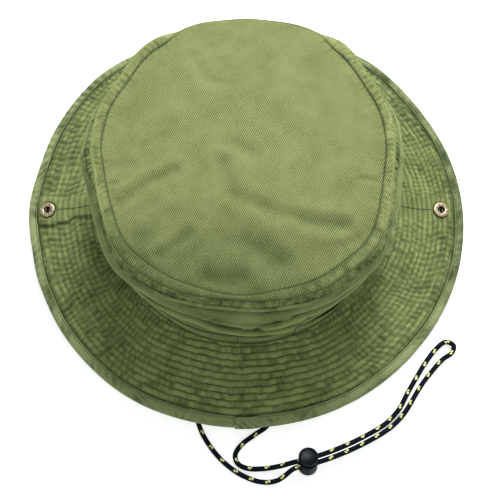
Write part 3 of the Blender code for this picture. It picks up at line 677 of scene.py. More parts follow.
def brim_halves(name):
    """The quilted brim, in two closed halves that meet at the front and the back."""
    columns = int(600 * FINE)
    outline_rows = 104
    angle = np.linspace(-math.pi / 2, 1.5 * math.pi, 2 * columns + 1)[:-1][None, :]
    length = brim_frame(angle)[3]
    points, weave = [], []
    for face, count in ((1, outline_rows), (-1, outline_rows * 2 // 3)):
        share = np.linspace(0.0, 1.0, count)[::face, None]
        out = share * (length - 1.4 * MM)
        place, _, relief = brim_surface(np.broadcast_to(angle, out.shape), out, face)
        points.append(place)
        weave.append(stacked(place[..., 0] / MM, place[..., 1] / MM, relief))
    grid, cloth = np.concatenate(points), np.concatenate(weave)
    wrapped = [np.concatenate([part, part[:, :1]], 1) for part in (grid, cloth, grid_normals(grid))]
    meshes = {}
    for side, first in (("right", 0), ("left", columns)):
        grid, cloth, normals = (part[:, first:first + columns + 1] for part in wrapped)
        meshes[side] = grid_mesh(name + "_" + side, grid, cloth, around=False, normals=normals)
    return meshes


def bend_with_fold(piece):
    """Bakes a piece's placement into its mesh; the piece isn't attached to its folding side, so it doesn't
    bend up with it.
    """
    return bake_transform(piece)


def build_brim():
    for side, mesh in brim_halves("brim_cloth").items():
        panels = [f"brim_{ply}_{side}_{half}" for ply in ("top", "under") for half in ("front", "back")]
        panels.append("brim_stiffener_" + side)
        if side == "right":
            panels += ["brim_stiffener_middle", "brim_top_front", "brim_under_front", "brim_top_back",
                       "brim_under_back"]
        bend_with_fold(put("brim_cloth_" + side, mesh, QUILTED, nodes=panels))


def build_brim_stitching():
    for side in ("right", "left"):
        rows = []
        for face in (1, -1):
            for k in range(ROWS):
                first = -math.pi / 2 if side == "right" else math.pi / 2
                count = int(math.pi * (FIRST_ROW_RADIUS - k * ROW_PITCH) / STITCH) + 1
                angle = np.linspace(first, first + math.pi, count)
                length = brim_frame(angle)[3]
                out = length - ROW_INSET - (k - row_drift(angle, face)) * row_pitch(angle)
                points, normals, _ = brim_surface(angle, out, face)
                stitches = stitches_along(points, normals, 0.05 * MM)
                sewn = (out[:-1] > 1.5 * MM) & (out[1:] > 1.5 * MM)
                sewn &= snap_clearance(stitches[0]) & snap_clearance(stitches[1])
                rows.append([part[sewn] for part in stitches])
        bend_with_fold(sew("brim_stitching_" + side, rows))


def build_side_seams():
    """The line along each side of the brim where its outer cloth is joined: a thin tube painted dark, a
    painted shadow along the ply's edge.
    """
    for side in ("right", "left"):
        out = np.linspace(2.0 * MM, 54.0 * MM, 94)
        x = BASE_WIDTH + out
        lean = np.arcsin(seam_height_on_brim(x) / (BASE_LENGTH + out * 0.97))
        angle = lean if side == "right" else math.pi - lean
        place, _, _ = brim_surface(angle, out, 1)
        free = snap_clearance(place)
        place[1:-1] = (place[:-2] + place[1:-1] * 2 + place[2:]) / 4
        inner, outer = place[:np.argmin(free)], place[len(free) - np.argmin(free[::-1]):]
        for number, path in enumerate([part for part in (inner, outer) if len(part) > 3]):
            name = "brim_seam_" + side + "_" + str(number + 1)
            # Painted shadow: the seam's tube is given the darkest relief.
            shade = stacked(path[:, 0] / MM, path[:, 1] / MM, -1.0)
            piece = put(name, wire_mesh(name, path, 0.30 * MM, weave=shade), QUILTED)
            bend_with_fold(piece)


def snap_clearance(points):
    """True for points that aren't under a snap."""
    return from_snap(points[:, 0], points[:, 1]) > 6.6 * MM


# Cross-section of the binding: distance in from the edge and distance off the brim's middle, in mm.
BINDING_OUTLINE = [
    (8.0, 0.62), (7.95, 1.15), (7.75, 1.48), (7.45, 1.52), (7.1, 1.36), (6.8, 1.30), (6.4, 1.48),
    (5.7, 1.70), (4.9, 1.84), (4.0, 1.92), (3.2, 1.94), (2.4, 1.90), (1.7, 1.76), (1.1, 1.50), (0.6, 1.12),
    (0.2, 0.62),
]


def binding_scale(angle):
    """The tape's width, as a share of its widest at the back."""
    return 1.0 - 0.20 * (1 - window(angle, -90, 25, 62)) + 0.03 * round_noise(angle, 0.5, 18, 34)


def binding_surface(angle, inward, off, flat=False, shift=0.0):
    """A point of the binding from its place in the cross-section, with bias wrinkles unless it is flat."""
    foot, along, normal, length = brim_frame(angle)
    arc = (angle % TAU) / TAU
    inward = inward * binding_scale(angle)
    slant = arc * 150 + inward / (9.5 * MM) + 1.3 * round_noise(angle, inward / 0.012, 38, 31)
    ridge = 0.5 + 0.5 * np.sin(slant * TAU)
    strength = np.clip(0.58 + 0.75 * round_noise(angle, 0.5, 33, 32), 0.15, 1.1)
    strength = strength * (1.0 - 0.60 * window(angle, 0, 50, 95))
    span = smooth((6.4 * MM - inward) / (1.2 * MM)) * smooth(np.abs(off) / (1.2 * MM))
    wrinkle = (ridge ** 1.5 - 0.42) * strength * span * (1.0 - flat)
    mottle = round_noise(angle, inward / (5.0 * MM), 95, 35) * span
    reach = round_noise(angle, 2.5, 90, 33) * 0.12 * MM
    sign = np.sign(off)
    place = foot + along * (length - inward + reach + shift)[..., None]
    place = place + normal * (off + sign * (wrinkle * 0.38 + mottle * 0.12) * MM)[..., None]
    # Painted highlight and shade: the relief makes the lip and the tape's higher parts paler and the bias
    # wrinkles pale on their ridges and dark in their troughs; the mottle is uneven dye.
    lip = bell(inward / binding_scale(angle) - 7.55 * MM, 0.30 * MM) * (1.0 - flat)
    # Painted light and shade: the tape is painted paler at the back and darker on the right side.
    fade_and_painted_light = 0.80 * window(angle, -90, 40, 80) - 0.18 * window(angle, 0, 45, 80)
    relief = wrinkle * 1.15 + mottle * 0.85 + lip * 0.9 + (np.abs(off) / MM - 1.62) * 0.25 + fade_and_painted_light
    return place, normal * np.where(sign == 0, 1.0, sign)[..., None], np.clip(relief, -1.2, 1.0)


def binding_grid(angle, lap):
    """The tape wrapped round the edge, as a closed cross-section at each angle. lap is 1 where it lies over
    the other end of the tape."""
    outer = BINDING_OUTLINE + [(0.0, 0.0)] + [(a, -b) for a, b in reversed(BINDING_OUTLINE)]
    inner = [(8.0, -0.56), (4.5, -0.54), (1.2, -0.50), (0.8, 0.0), (1.2, 0.50), (4.5, 0.54), (8.0, 0.56)]
    points, weave = [], []
    for number, (inward, off) in enumerate(scaled(outer + inner)):
        hidden = number >= len(outer)
        lifted = off + (0.0 if hidden else np.sign(off) * 0.60 * MM) * lap
        place, _, relief = binding_surface(angle, inward + 0.0 * angle, lifted, hidden, 0.8 * MM * lap)
        points.append(place)
        weave.append(stacked((angle % TAU) * AROUND["binding"], 0.0 * angle + number * 1.1, relief))
    return np.stack(points), np.stack(weave)


def build_binding():
    join = math.asin(BINDING_JOIN_X / EDGE_LENGTH) - math.pi / 2
    gap = 0.2 / 153                                 # 0.2 mm at the edge
    for side, first, last in (("right", join, math.pi / 2), ("left", math.pi / 2, join - gap + TAU)):
        angle = np.linspace(first, last, int(1000 * FINE))
        near_join = turned(angle, join) * EDGE_LENGTH
        lap = smooth((19.0 * MM - near_join) / (9.0 * MM)) * (side == "right")
        mesh = grid_mesh("binding_tape_" + side, *binding_grid(angle, lap), around=False)
        tapes = ["binding_" + side, "binding_back_" + side] + ["binding_front"] * (side == "right")
        bend_with_fold(put("binding_tape_" + side, mesh, BIAS, nodes=tapes))
        rows = []
        for off in (1.32, -1.32):
            stitch = np.linspace(first, last, int(math.pi * BINDING_ROW_RADIUS / STITCH))
            place, normals, _ = binding_surface(stitch, 0.0 * stitch + 6.85 * MM, 0.0 * stitch + off * MM)
            rows.append(stitches_along(place, normals, 0.02 * MM))
        bend_with_fold(sew("binding_stitching_" + side, rows))


# ---------- crown

# Half sizes of the wall's outer face by height above the table, in mm: at the sides, back and front.
WALL_SIDE = [(18.5, 93.0), (30, 93.6), (41, 94.4), (47, 96.4), (56, 98.8), (68, 100.6), (80, 100.9),
             (90, 99.4), (97, 96.6), (101, 94.2), (104.3, 91.6)]
WALL_BACK = [(18.5, 98.4), (30, 98.5), (42, 98.9), (45, 99.8), (48, 101.6), (54, 102.5), (62, 102.0),
             (72, 100.6), (86, 98.9), (94, 98.0), (98.5, 98.4), (101.5, 97.2), (104.3, 95.4)]
WALL_FRONT = [(18.5, 98.6), (30, 98.6), (42, 98.9), (56, 101.0), (69, 102.4), (85, 101.6), (96, 99.0),
              (101, 97.2), (104.3, 95.4)]
SEAM_TOP = 104.3 * MM
WALL_FOOT = 18.5 * MM
WALL_STRIP = 4.8 * MM                    # from the tip seam to the topstitching on the wall
TIP_STRIP = 5.6 * MM                     # and on the tip
FRONT_DROP = 5.5 * MM                    # how far the seam has rolled down over the front of the crown
TIP_DOME = 5.0 * MM

# The soft crown isn't a true oval: centre and half width in degrees, and the share it stands out.
SLUMPS = [(-139, 14, 0.060), (-121, 10, 0.020), (-95, 10, -0.018), (-58, 13, 0.038), (-36, 13, 0.062),
          (-9, 8, -0.012), (17, 11, 0.022), (49, 14, 0.046), (68, 14, 0.038), (90, 10, 0.018),
          (110, 12, 0.038), (132, 13, 0.046), (163, 12, 0.036), (178, 7, 0.020)]


def slump(angle):
    return humps(angle, SLUMPS)


def rolled(angle):
    """1 over the front of the crown, where its seam has rolled down out of sight."""
    return window(angle, 88, 27, 39)


def seam_height(angle):
    return SEAM_TOP - FRONT_DROP * rolled(angle)


def wall_base(angle, height):
    """The wall's outer face before its folds; height is above the table."""
    level = height + FRONT_DROP * rolled(angle) * smooth((height - 74 * MM) / (24 * MM))
    side, back, front = [curve_through(*np.array(rows).T, level / MM) * MM
                         for rows in (WALL_SIDE, WALL_BACK, WALL_FRONT)]
    length = np.where(np.sin(angle) > 0, front, back)
    out = 1.0 + slump(angle) * smooth((level - 58 * MM) / (34 * MM))
    out -= 0.055 * window(angle, 90, 45, 72) * bell(level - 78 * MM, 15 * MM)
    return oval(angle, side * out, length * out, TABLE + height)


def seam_wear_vs_shade(angle):
    """1 where the tip's seam shows as a raised worn ridge with a painted highlight, and 0 at the back, where
    it is sunk and painted as a dark line of shade.
    """
    return 1.0 - window(angle, -90, 42, 72)


def strip_puff(angle, distance, width):
    """Height of a topstitched strip: low at the seam and at its stitching, full between them."""
    start = 0.62 * seam_wear_vs_shade(angle) * (distance < width / 2)
    return start + (1.0 - start) * np.sqrt(np.abs(np.sin(math.pi * np.clip(distance / width, 0, 1))))


def seam_puckers(angle, distance, seed):
    """Fine gathers across a topstitched strip: about 0, and down to -1 in the tucks."""
    cells = 168
    column = (angle % TAU) / TAU * cells + 0.7 * round_noise(angle, distance / (4.0 * MM), 60, seed)
    nearest = np.round(column)
    depth = lattice(nearest % cells, 0.0, seed + 1)
    sunk = 0.30 - (0.25 + 0.95 * depth) * bell(column - nearest, 0.34)
    fine = 0.22 * round_noise(angle, distance / (2.2 * MM), 230, seed + 2)
    return sunk * (0.45 + 0.55 * seam_wear_vs_shade(angle)) + fine


# Long soft folds in the wall: path in mm as (distance round from the back, height), half width and height.
WALL_FOLDS = [
    ([(-78, 58), (-58, 65), (-34, 66.5), (-15, 61), (5, 57.5), (30, 54)], 2.6, 1.5),
    ([(12, 64), (34, 71), (52, 70.5), (70, 70), (84, 67), (98, 60)], 2.6, 1.5),
    ([(-16, 72), (0, 69), (18, 68), (34, 72)], 2.2, 0.6),
    ([(92, 66), (101, 80), (106, 92)], 3.0, 0.7),
    ([(-125, 62), (-104, 70), (-86, 66)], 3.4, 1.2),
    ([(128, 66), (150, 74), (176, 70)], 4.0, 1.0),
    ([(196, 60), (222, 68), (246, 62)], 4.5, 1.0),
    ([(-178, 70), (-158, 62), (-140, 66)], 4.0, 1.0),
    ([(-236, 66), (-212, 74), (-190, 70)], 4.5, 0.9),
]


def wall_relief(angle, height):
    """How far the wall's cloth stands off its base, in mm, and its relief."""
    down = seam_height(angle) - height
    gather = seam_puckers(angle, down, 41)
    puff = strip_puff(angle, down, WALL_STRIP)
    # The seam's pale ridge: partly wear, partly painted highlight.
    wear_and_highlight = seam_wear_vs_shade(angle) * bell(down, 0.9 * MM)
    below = smooth((down - WALL_STRIP) / (1.5 * MM))
    strip = puff * (0.9 + 0.75 * gather) * (1 - below)
    groove = -bell(down - WALL_STRIP, 0.5 * MM) * (0.5 + 0.5 * seam_wear_vs_shade(angle))
    tucks = gather * below * np.exp(-(down - WALL_STRIP) / (3.5 * MM))
    foot = smooth((52 * MM - height) / (9 * MM))
    free = below * (1.0 - foot)
    broad = round_noise(angle, height / (30 * MM), 13, 42) * 0.8
    broad += round_noise(angle, height / (11 * MM), 22, 43) * 0.45
    pleats = round_noise(angle, height / (16 * MM), 80, 44) * 0.14
    arc = turned(angle, -math.pi / 2) * AROUND["band"]
    level = height / MM
    folds = 0.0 * arc
    for path, half_width, tall in WALL_FOLDS:
        folds -= crease(arc, level, path, half_width, tall * 1.2, 0.55)
    ledge = window(angle, -91, 13, 28)
    shelf = ledge * bell(level - 95.4, 1.5)
    hollow = ledge * bell(level - 90.6, 3.2)
    bump = bell(turned(angle, math.radians(-178)) * AROUND["band"], 17) * bell(level - 93, 9) * 2.6
    off = strip * 1.05 + groove * 0.6 + 0.45 * tucks + (broad + pleats + folds) * free
    off += 0.9 * shelf - 1.2 * hollow + bump
    # Painted highlight and shade: the puffed strip is made paler and the stitched groove, tucks and gathers
    # darker.
    relief = (strip - 0.75) * 0.9 * (1 - below) + groove * 0.9 + tucks * 0.8 + gather * 0.75 * (1 - below)
    near = smooth((11 * MM - down) / (4 * MM))
    relief += 0.55 * round_noise(angle, down / (2.4 * MM), 190, 47) * near
    # Painted highlight on the fold ridges, broad swells, the back's shelf and the seam ridge, which is
    # partly real wear; painted shade in the hollow under the shelf.
    relief += free * (0.75 * folds + 0.30 * broad) + 0.85 * shelf - 0.75 * hollow + 1.1 * wear_and_highlight
    # Painted light and shade: the wall is made paler all round but at the back, where it is darker.
    relief += (0.65 * (1.0 - window(angle, -90, 40, 62)) - 0.15) * free
    return off * MM, np.clip(relief, -1.3, 1.2)


def wall_surface(angle, height, inset=0.0):
    base = wall_base(angle, height)
    step = 0.4 * MM
    up = wall_base(angle, height + step) - wall_base(angle, height - step)
    round_it = wall_base(angle + 0.002, height) - wall_base(angle - 0.002, height)
    normal = unit(np.cross(round_it, up))
    off, relief = wall_relief(angle, height)
    seam = bell(np.sin(angle) * 96.0, 0.6) * -0.7 * MM * smooth(np.abs(np.cos(angle)))
    return base + normal * (off + seam - inset)[..., None], normal, relief


def build_wall():
    for half, first in (("front", 0.0), ("back", -math.pi)):
        gap = 0.0012
        angle = np.linspace(first + gap, first + math.pi - gap, int(560 * FINE))[None, :]
        near_seam = np.linspace(0.0, 0.15, 42)
        share = np.concatenate([near_seam, np.linspace(0.157, 1.0, 84)])[:, None]
        height = seam_height(angle) + (WALL_FOOT - seam_height(angle)) * share
        outer, _, relief = wall_surface(*np.broadcast_arrays(angle, height))
        inside = height[::-6]
        inner, _, _ = wall_surface(*np.broadcast_arrays(angle, inside), inset=0.9 * MM)
        grid = np.concatenate([outer, inner])
        shade = np.concatenate([relief, np.zeros(inner.shape[:2])])
        run = np.concatenate([height, inside])
        cloth = stacked(np.broadcast_to(angle * AROUND["wall"], shade.shape), run / MM, shade)
        mesh = grid_mesh("wall_cloth_" + half, grid, cloth, around=False)
        put("wall_cloth_" + half, mesh, TWILL, "hat", ["crown_wall_" + half])


# Soft creases in the crown's tip: path in mm, half width in mm and depth in mm.
TIP_CREASES = [
    ([(-76, -33), (-59, -21), (-43, -13)], 3.6, 1.5),
    ([(-50, -67), (-41, -61), (-33, -54)], 3.4, 1.3),
    ([(-64, -58), (-54, -50), (-43, -40)], 5.0, 0.8),
    ([(-12, 4), (-5, 3), (5, -3)], 3.5, 0.6),
    ([(-13, -8), (-10, -27), (3, -34), (26, -42), (41, -47), (60, -48)], 4.0, 1.1),
    ([(38, -46), (60, -49)], 4.5, 0.8),
    ([(0, -60), (9, -64), (20, -70)], 6.0, 1.5),
    ([(-20, -81), (-11, -83), (-3, -81)], 5.0, 1.5),
    ([(57, -61), (67, -56)], 3.0, 1.0),
    ([(-32, 66), (-24, 49), (-9, 46)], 3.5, 0.7),
    ([(-88, -12), (-69, -8)], 3.0, 0.5),
    ([(-86, -22), (-78, -21)], 1.6, 0.7),
    ([(70, -18), (87, -19)], 1.8, 0.6),
]


def tip_strip_width(angle):
    return TIP_STRIP * (1.0 - humps(angle, [(-94, 11, 0.42)]) + 0.10 * round_noise(angle, 0.5, 19, 50))


def tip_surface(angle, inward):
    """The top face of the crown's tip; inward is the distance from its seam, along the cloth."""
    width, length = TIP_HIGH.x, TIP_HIGH.y
    roll = rolled(angle)
    near = smooth(inward / TIP_STRIP) * (1 - smooth((inward - 6 * MM) / (30 * MM)))
    level = inward - 3.2 * MM * roll * near
    share = 1.0 - level / ((width + length) / 2)
    lean = slump(angle)
    shrink = (1.0 + lean * share ** 3) / (1.0 + lean) * share
    rim = wall_base(angle, seam_height(angle)) * shrink[..., None]
    x, y = rim[..., 0], rim[..., 1]
    strip = tip_strip_width(angle)
    gather = seam_puckers(angle, inward, 51)
    inner = smooth((inward - strip) / (1.4 * MM))
    puff = strip_puff(angle, inward, strip)
    gather = gather * (1.0 - 0.75 * roll)
    raised = puff * (0.95 + 0.40 * gather) * (1 - inner)
    seam = -bell(inward, 0.5 * MM)
    groove = -bell(inward - strip, 0.42 * MM + 0.22 * MM * (1 - seam_wear_vs_shade(angle)))
    tucks = gather * inner * np.exp(-(inward - strip) / (4.0 * MM))
    drop = roll * (FRONT_DROP / MM) * (1 - smooth(inward / (7.0 * MM)) ** 0.7)
    dome = (TIP_DOME / MM) * (1 - share ** 2) - 0.6 * smooth((inward - strip) / 0.045)
    folds = 0.0 * x
    for path, half_width, depth in TIP_CREASES:
        folds += crease(x / MM, y / MM, path, half_width, depth)
    broad = noise(x / 0.034, y / 0.034, 52) * 0.55 + noise(x / 0.014 + 7.3, y / 0.014, 53) * 0.22
    calm = smooth((inward - strip) / (6.0 * MM))
    off = raised * 1.05 + 0.45 * groove + 0.25 * tucks + dome - drop + (folds + broad) * calm
    # Painted highlight and shade: the worn seam ridge at the sides and the rolled front edge are made paler,
    # partly real wear; the seam line and strip at the back, the stitched groove, the tucks and the creases
    # are made darker.
    wear_and_highlight = seam_wear_vs_shade(angle)
    relief = (raised - 0.80 - 0.35 * (1 - wear_and_highlight)) * 0.9 * (1 - inner)
    relief += groove * (1.35 - 0.55 * wear_and_highlight) * (1 - roll)
    relief += 0.8 * roll * bell(inward - strip, 0.7 * MM) + tucks * 0.7
    relief += seam * 1.3 * (1 - wear_and_highlight) + 1.0 * wear_and_highlight * bell(inward, 0.9 * MM)
    relief += gather * 0.55 * (1 - inner) + (0.20 * folds + 0.16 * broad) * calm
    relief += 0.50 * round_noise(angle, inward / (2.6 * MM), 150, 54) * (1 - inner)
    # Painted shade: the tip is made darker toward its back, less so on its right.
    relief -= 0.95 * smooth((-y - 20 * MM) / (60 * MM)) * (1.0 - 0.60 * smooth(x / (50 * MM)))
    return stacked(x, y, TIP_HIGH.z - 0.4 * MM + off * MM), np.clip(relief, -1.3, 1.1)


def build_tip():
    angle = ring_angles(900)
    reach = (TIP_HIGH.x + TIP_HIGH.y) / 2
    inward = np.concatenate([np.linspace(0, 10, 36), np.linspace(10.8, reach / MM - 0.6, 84)])
    inward = inward[::-1, None] * MM
    top, relief = tip_surface(*np.broadcast_arrays(angle, inward))
    under_in = inward[::-7]
    under, _ = tip_surface(*np.broadcast_arrays(angle, under_in))
    under = under - np.array([0.0, 0.0, 1.0 * MM])
    grid = np.concatenate([top, under])
    shade = np.concatenate([relief, np.zeros(under.shape[:2])])
    cloth = stacked(grid[..., 0] / MM, grid[..., 1] / MM, shade)
    mesh = grid_mesh("tip_cloth", grid, cloth, closed_outline=False)
    put("tip_cloth", mesh, TIP_TWILL, "hat", ["crown_tip"])


def build_seam_roll():
    """The seam allowance stands up as a thin worn roll where the tip meets the wall, its top painted paler
    than its underside as a painted highlight, and painted dark at the back as painted shade.
    """
    angle = np.linspace(0, TAU, int(900 * FINE) + 1)[:-1]
    size = (0.55 + 0.35 * seam_wear_vs_shade(angle) + 0.10 * round_noise(angle, 0.5, 150, 57)) * MM
    sunk = 0.75 * MM * (1.0 - seam_wear_vs_shade(angle)) + 0.05 * MM
    base = wall_base(angle, seam_height(angle) - sunk)
    outward = oval(angle, 1.0, 1.0, 0.0)
    grid, cloth = [], []
    for turn in np.linspace(0, TAU, 13)[:-1]:
        grid.append(base + outward * (math.cos(turn) * size + 0.1 * MM)[..., None]
                    + np.array([0.0, 0.0, 1.0]) * (math.sin(turn) * size)[..., None])
        # Painted highlight on the roll's top at the sides, painted shade all round it at the back.
        wear_and_highlight = seam_wear_vs_shade(angle) - 0.35 + 0.35 * round_noise(angle, 0.5, 210, 58)
        cloth.append(stacked(angle * AROUND["wall"], turn, wear_and_highlight * (0.3 + 0.7 * max(0.0, math.sin(turn)))))
    put("seam_roll", grid_mesh("seam_roll", np.stack(grid), np.stack(cloth)), TWILL, "hat")


def build_crown_stitching():
    angle = np.linspace(0, TAU, 211)
    top, _ = tip_surface(angle, tip_strip_width(angle))
    up = np.tile([0.0, 0.0, 1.0], (len(angle), 1))
    seen = rolled(angle[:-1]) < 0.5
    rows = [[part[seen] for part in stitches_along(top, up, 0.08 * MM)]]
    place, normals, _ = wall_surface(angle, seam_height(angle) - WALL_STRIP)
    rows.append(stitches_along(place, normals, 0.08 * MM))
    sew("crown_stitching", rows, "hat")


# ---------- foliage band

BAND_LOW, BAND_HIGH = 21.6 * MM, 41.2 * MM
BARTACKS = [math.radians(a) for a in (-38, -70, -93, -122, -148, -180, 146, 118, 90, 62, 34, 0)]
# Where the band's upper edge stands away from the wall: angle, half width in degrees, distance in mm.
BAND_LOOPS = [(-54, 9, 1.6), (-82, 6, 0.8), (-15, 8, 1.8), (-108, 8, 0.6), (-135, 8, 0.9), (160, 9, 1.0),
              (48, 9, 1.2), (104, 8, 0.9)]


def band_surface(angle, height, layer):
    """The foliage band; layer is the distance off its inner face."""
    share = (height - BAND_LOW) / (BAND_HIGH - BAND_LOW)
    base = wall_base(angle, height)
    outward = oval(angle, 1.0, 1.0, 0.0)
    loose = humps(angle, BAND_LOOPS)
    ripple = 0.18 * round_noise(angle, share * 1.5, 70, 61) + 0.25 * round_noise(angle, share, 24, 62)
    tack = 0.0 * angle
    for centre in BARTACKS:
        tack += bell(turned(angle, centre) * AROUND["band"], 2.2)
    off = 0.35 + (loose + ripple) * smooth(share * 1.3) * (1 - 0.8 * tack) + layer / MM - 0.10 * tack
    edge = bell(share - 0.10, 0.035) + bell(share - 0.90, 0.035)
    off -= 0.16 * edge * (layer > 0)
    sag = 0.5 * round_noise(angle, 0.5, 15, 63) * smooth(share * 1.2)
    # Painted highlight and shade: the ripples' crests are made paler and the stitched edges and tacks
    # darker.
    relief = np.clip(0.9 * ripple - 0.4 * edge - 0.05 * tack - 0.1, -1, 1)
    return base + outward * (off * MM)[..., None] + stacked(0, 0, sag * MM * 0.6), outward, relief


def build_band():
    angle = ring_angles(1100)
    height = np.linspace(BAND_LOW, BAND_HIGH, 22)[:, None]
    outer, _, relief = band_surface(*np.broadcast_arrays(angle, height), 0.85 * MM)
    inner, _, _ = band_surface(*np.broadcast_arrays(angle, height[::-1]), 0.0)
    grid = np.concatenate([outer, inner])
    # Painted shade: the band's inner face, against the wall, is made darker.
    shade = np.concatenate([relief, relief * 0.0 - 0.3])
    run = np.concatenate([height, height[::-1]]) * np.ones_like(angle)
    cloth = stacked(np.broadcast_to(angle * AROUND["band"], shade.shape), run / MM, shade)
    mesh = grid_mesh("foliage_band_cloth", grid, cloth)
    put("foliage_band_cloth", mesh, TWILL, "hat", ["foliage_band"])
    rows = []
    around = np.linspace(0, TAU, 216)
    for share in (0.10, 0.90):
        height = 0.0 * around + BAND_LOW + (BAND_HIGH - BAND_LOW) * share
        place, normals, _ = band_surface(around, height, 0.85 * MM)
        rows.append(stitches_along(place, normals, 0.04 * MM))
    for centre in BARTACKS:
        for step in range(12):
            height = BAND_LOW + (BAND_HIGH - BAND_LOW) * (0.06 + 0.88 * step / 11)
            ends = np.array([centre - 0.007, centre + 0.007])
            place, normals, _ = band_surface(ends, 0.0 * ends + height, 0.85 * MM)
            rows.append(stitches_along(place, normals, -0.04 * MM))
    sew("band_stitching", rows, "hat")


# ---------- inside the crown


def build_sweatband():
    """The sweatband: a rippled oval strip with rounded edges and two rows of stitching."""
    low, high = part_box("sweatband")
    angle = ring_angles(500)
    share = np.linspace(0.0, 1.0, 24)[:, None]
    thickness = 0.9 * MM
    layers = []
    for layer, run in ((0.0, share), (thickness, share[::-1])):
        wave = round_noise(np.broadcast_to(angle, (24, angle.size)), run * 2.0, 34, 81) * 0.35 * MM
        pinch = 0.25 * MM * (bell(run - 0.07, 0.04) + bell(run - 0.93, 0.04))
        inset = layer + np.abs(wave) * 0.7 + (pinch if layer else -pinch)
        layers.append(oval(angle, high.x - inset, high.y - inset, low.z + (high.z - low.z) * run))
    grid = np.concatenate(layers)
    cloth = stacked(angle * AROUND["sweatband"], grid[..., 2] / MM, 0.0)
    mesh = grid_mesh("sweatband_cloth", grid, cloth)
    put("sweatband_cloth", mesh, LINING, "hat", ["sweatband"])
    around = np.linspace(0, TAU, 200)
    rows = []
    for share_up in (0.07, 0.93):
        place = oval(around, high.x - thickness, high.y - thickness, low.z + (high.z - low.z) * share_up)
        rows.append(stitches_along(place, -oval(around, 1.0, 1.0, 0.0), 0.08 * MM))
    sew("sweatband_cloth_stitching", rows, "hat")


def build_tip_tape():
    """The tape under the tip's seam: a flat oval ring with a rolled edge."""
    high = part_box("tip_seam_tape")[1]
    angle = ring_angles(600)
    across = np.linspace(0.0, 1.0, 14)[:, None]
    width = 9.0 * MM
    layers = []
    for down, run in ((0.0, across), (0.8 * MM, across[::-1])):
        wave = round_noise(np.broadcast_to(angle, (14, angle.size)), run, 80, 71) * 0.18 * MM
        level = high.z - run * 0.9 * MM - down + (wave if down else wave * 0.4) - 0.2 * MM
        layers.append(oval(angle, high.x - run * width, high.y - run * width, level))
    run = np.concatenate([across, across[::-1]]) * width / MM
    cloth = stacked(angle * AROUND["tip_tape"], run, 0.0)
    mesh = grid_mesh("tip_tape_cloth", np.concatenate(layers), cloth)
    put("tip_tape_cloth", mesh, LINING, "hat", ["tip_seam_tape"])


def build_side_tapes():
    """Tapes over the wall's side seams, inside."""
    for side, sign in (("left", -1), ("right", 1)):
        low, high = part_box("side_seam_tape_" + side)
        height = np.linspace(low.z, high.z, 60)[:, None] - TABLE
        y = np.linspace(low.y, high.y, 16)[None, :]
        centre = 0.0 if sign > 0 else math.pi
        angle = centre + sign * np.arcsin(y / 0.1)
        layers = []
        for inset in (1.15 * MM, 1.95 * MM):
            ripple = noise(y / 0.004, height / 0.008, 73) * 0.12 * MM
            base = wall_base(*np.broadcast_arrays(angle, height))
            base[..., 0] -= sign * (inset + ripple)
            layers.append(base)
        outline = np.concatenate([layers[0], layers[1][:, ::-1]], 1).transpose(1, 0, 2)
        cloth = stacked(outline[..., 1] / MM, outline[..., 2] / MM, 0.0)
        name = "side_tape_cloth_" + side
        mesh = grid_mesh(name, outline, cloth, around=False)
        put(name, mesh, LINING, "hat", ["side_seam_tape_" + side])


def build_cord_tabs():
    """Folded cloth tabs that hold the cord's ends, each with a hole through it."""
    for side in ("left", "right"):
        low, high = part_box("cord_tab_" + side)
        bm = block(low, high)
        bmesh.ops.bevel(bm, geom=bm.edges[:], offset=0.4 * MM, segments=3, profile=0.5, affect="EDGES")
        mesh = mesh_from(bm, "tab_cloth_" + side)
        mesh.shade_smooth()
        piece = put("tab_cloth_" + side, mesh, TWILL, "hat", ["cord_tab_" + side])
        hole = lathe("tab_hole_" + side, scaled([(0, -5), (2.0, -5), (2.0, 5), (0, 5)]), 32)
        pivot = Matrix.Translation(((low.x + high.x) / 2, 0, joint("cord_swing")["pos_m"][2]))
        hole.transform(pivot @ Matrix.Rotation(math.pi / 2, 4, "Y"))
        cut_with(piece, hole)
        weave = np.array([(v.co.x / MM, v.co.z / MM, 0.0) for v in piece.data.vertices], np.float32)
        layer = piece.data.attributes.new("weave", "FLOAT_VECTOR", "POINT")
        layer.data.foreach_set("vector", weave.ravel())


def cut_with(piece, mesh):
    """Cuts a mesh out of a piece and applies the result."""
    cutter = added("cutter", mesh)
    modifier = piece.modifiers.new("cut", "BOOLEAN")
    modifier.operation = "DIFFERENCE"
    modifier.solver = "EXACT"
    modifier.object = cutter
    bpy.context.view_layer.update()
    evaluated = piece.evaluated_get(bpy.context.evaluated_depsgraph_get())
    mesh = bpy.data.meshes.new_from_object(evaluated)
    piece.modifiers.clear()
    piece.data = mesh
    bpy.data.objects.remove(cutter)


# ---------- snaps

SNAP_INSET = {"left": 14.4 * MM, "right": 16.2 * MM}      # of a snap's middle, in from the edge
PLAIN_EDGE_WIDTH = 153.5 * MM                              # half width of the brim's edge without its waves


def snap_matrix(side):
    """Middle of a snap on the brim's top face, with Z off the brim."""
    angle = np.array([0.0 if side == "right" else math.pi])
    edge = oval(angle, PLAIN_EDGE_WIDTH, 0.0, EDGE_MIDDLE + SIDE_RISE)
    foot, along, normal, length = (part[0] for part in brim_line(angle, edge))
    normal = normal * math.hypot(along[0], along[1])
    place = foot + along * (length - SNAP_INSET[side]) + normal * 1.2 * MM + np.array([0.0, SEAM_Y, 0.0])
    along, normal = Vector(along), Vector(normal)
    turn = Matrix((along, normal.cross(along), normal)).transposed().to_4x4()
    return Matrix.Translation(place) @ turn


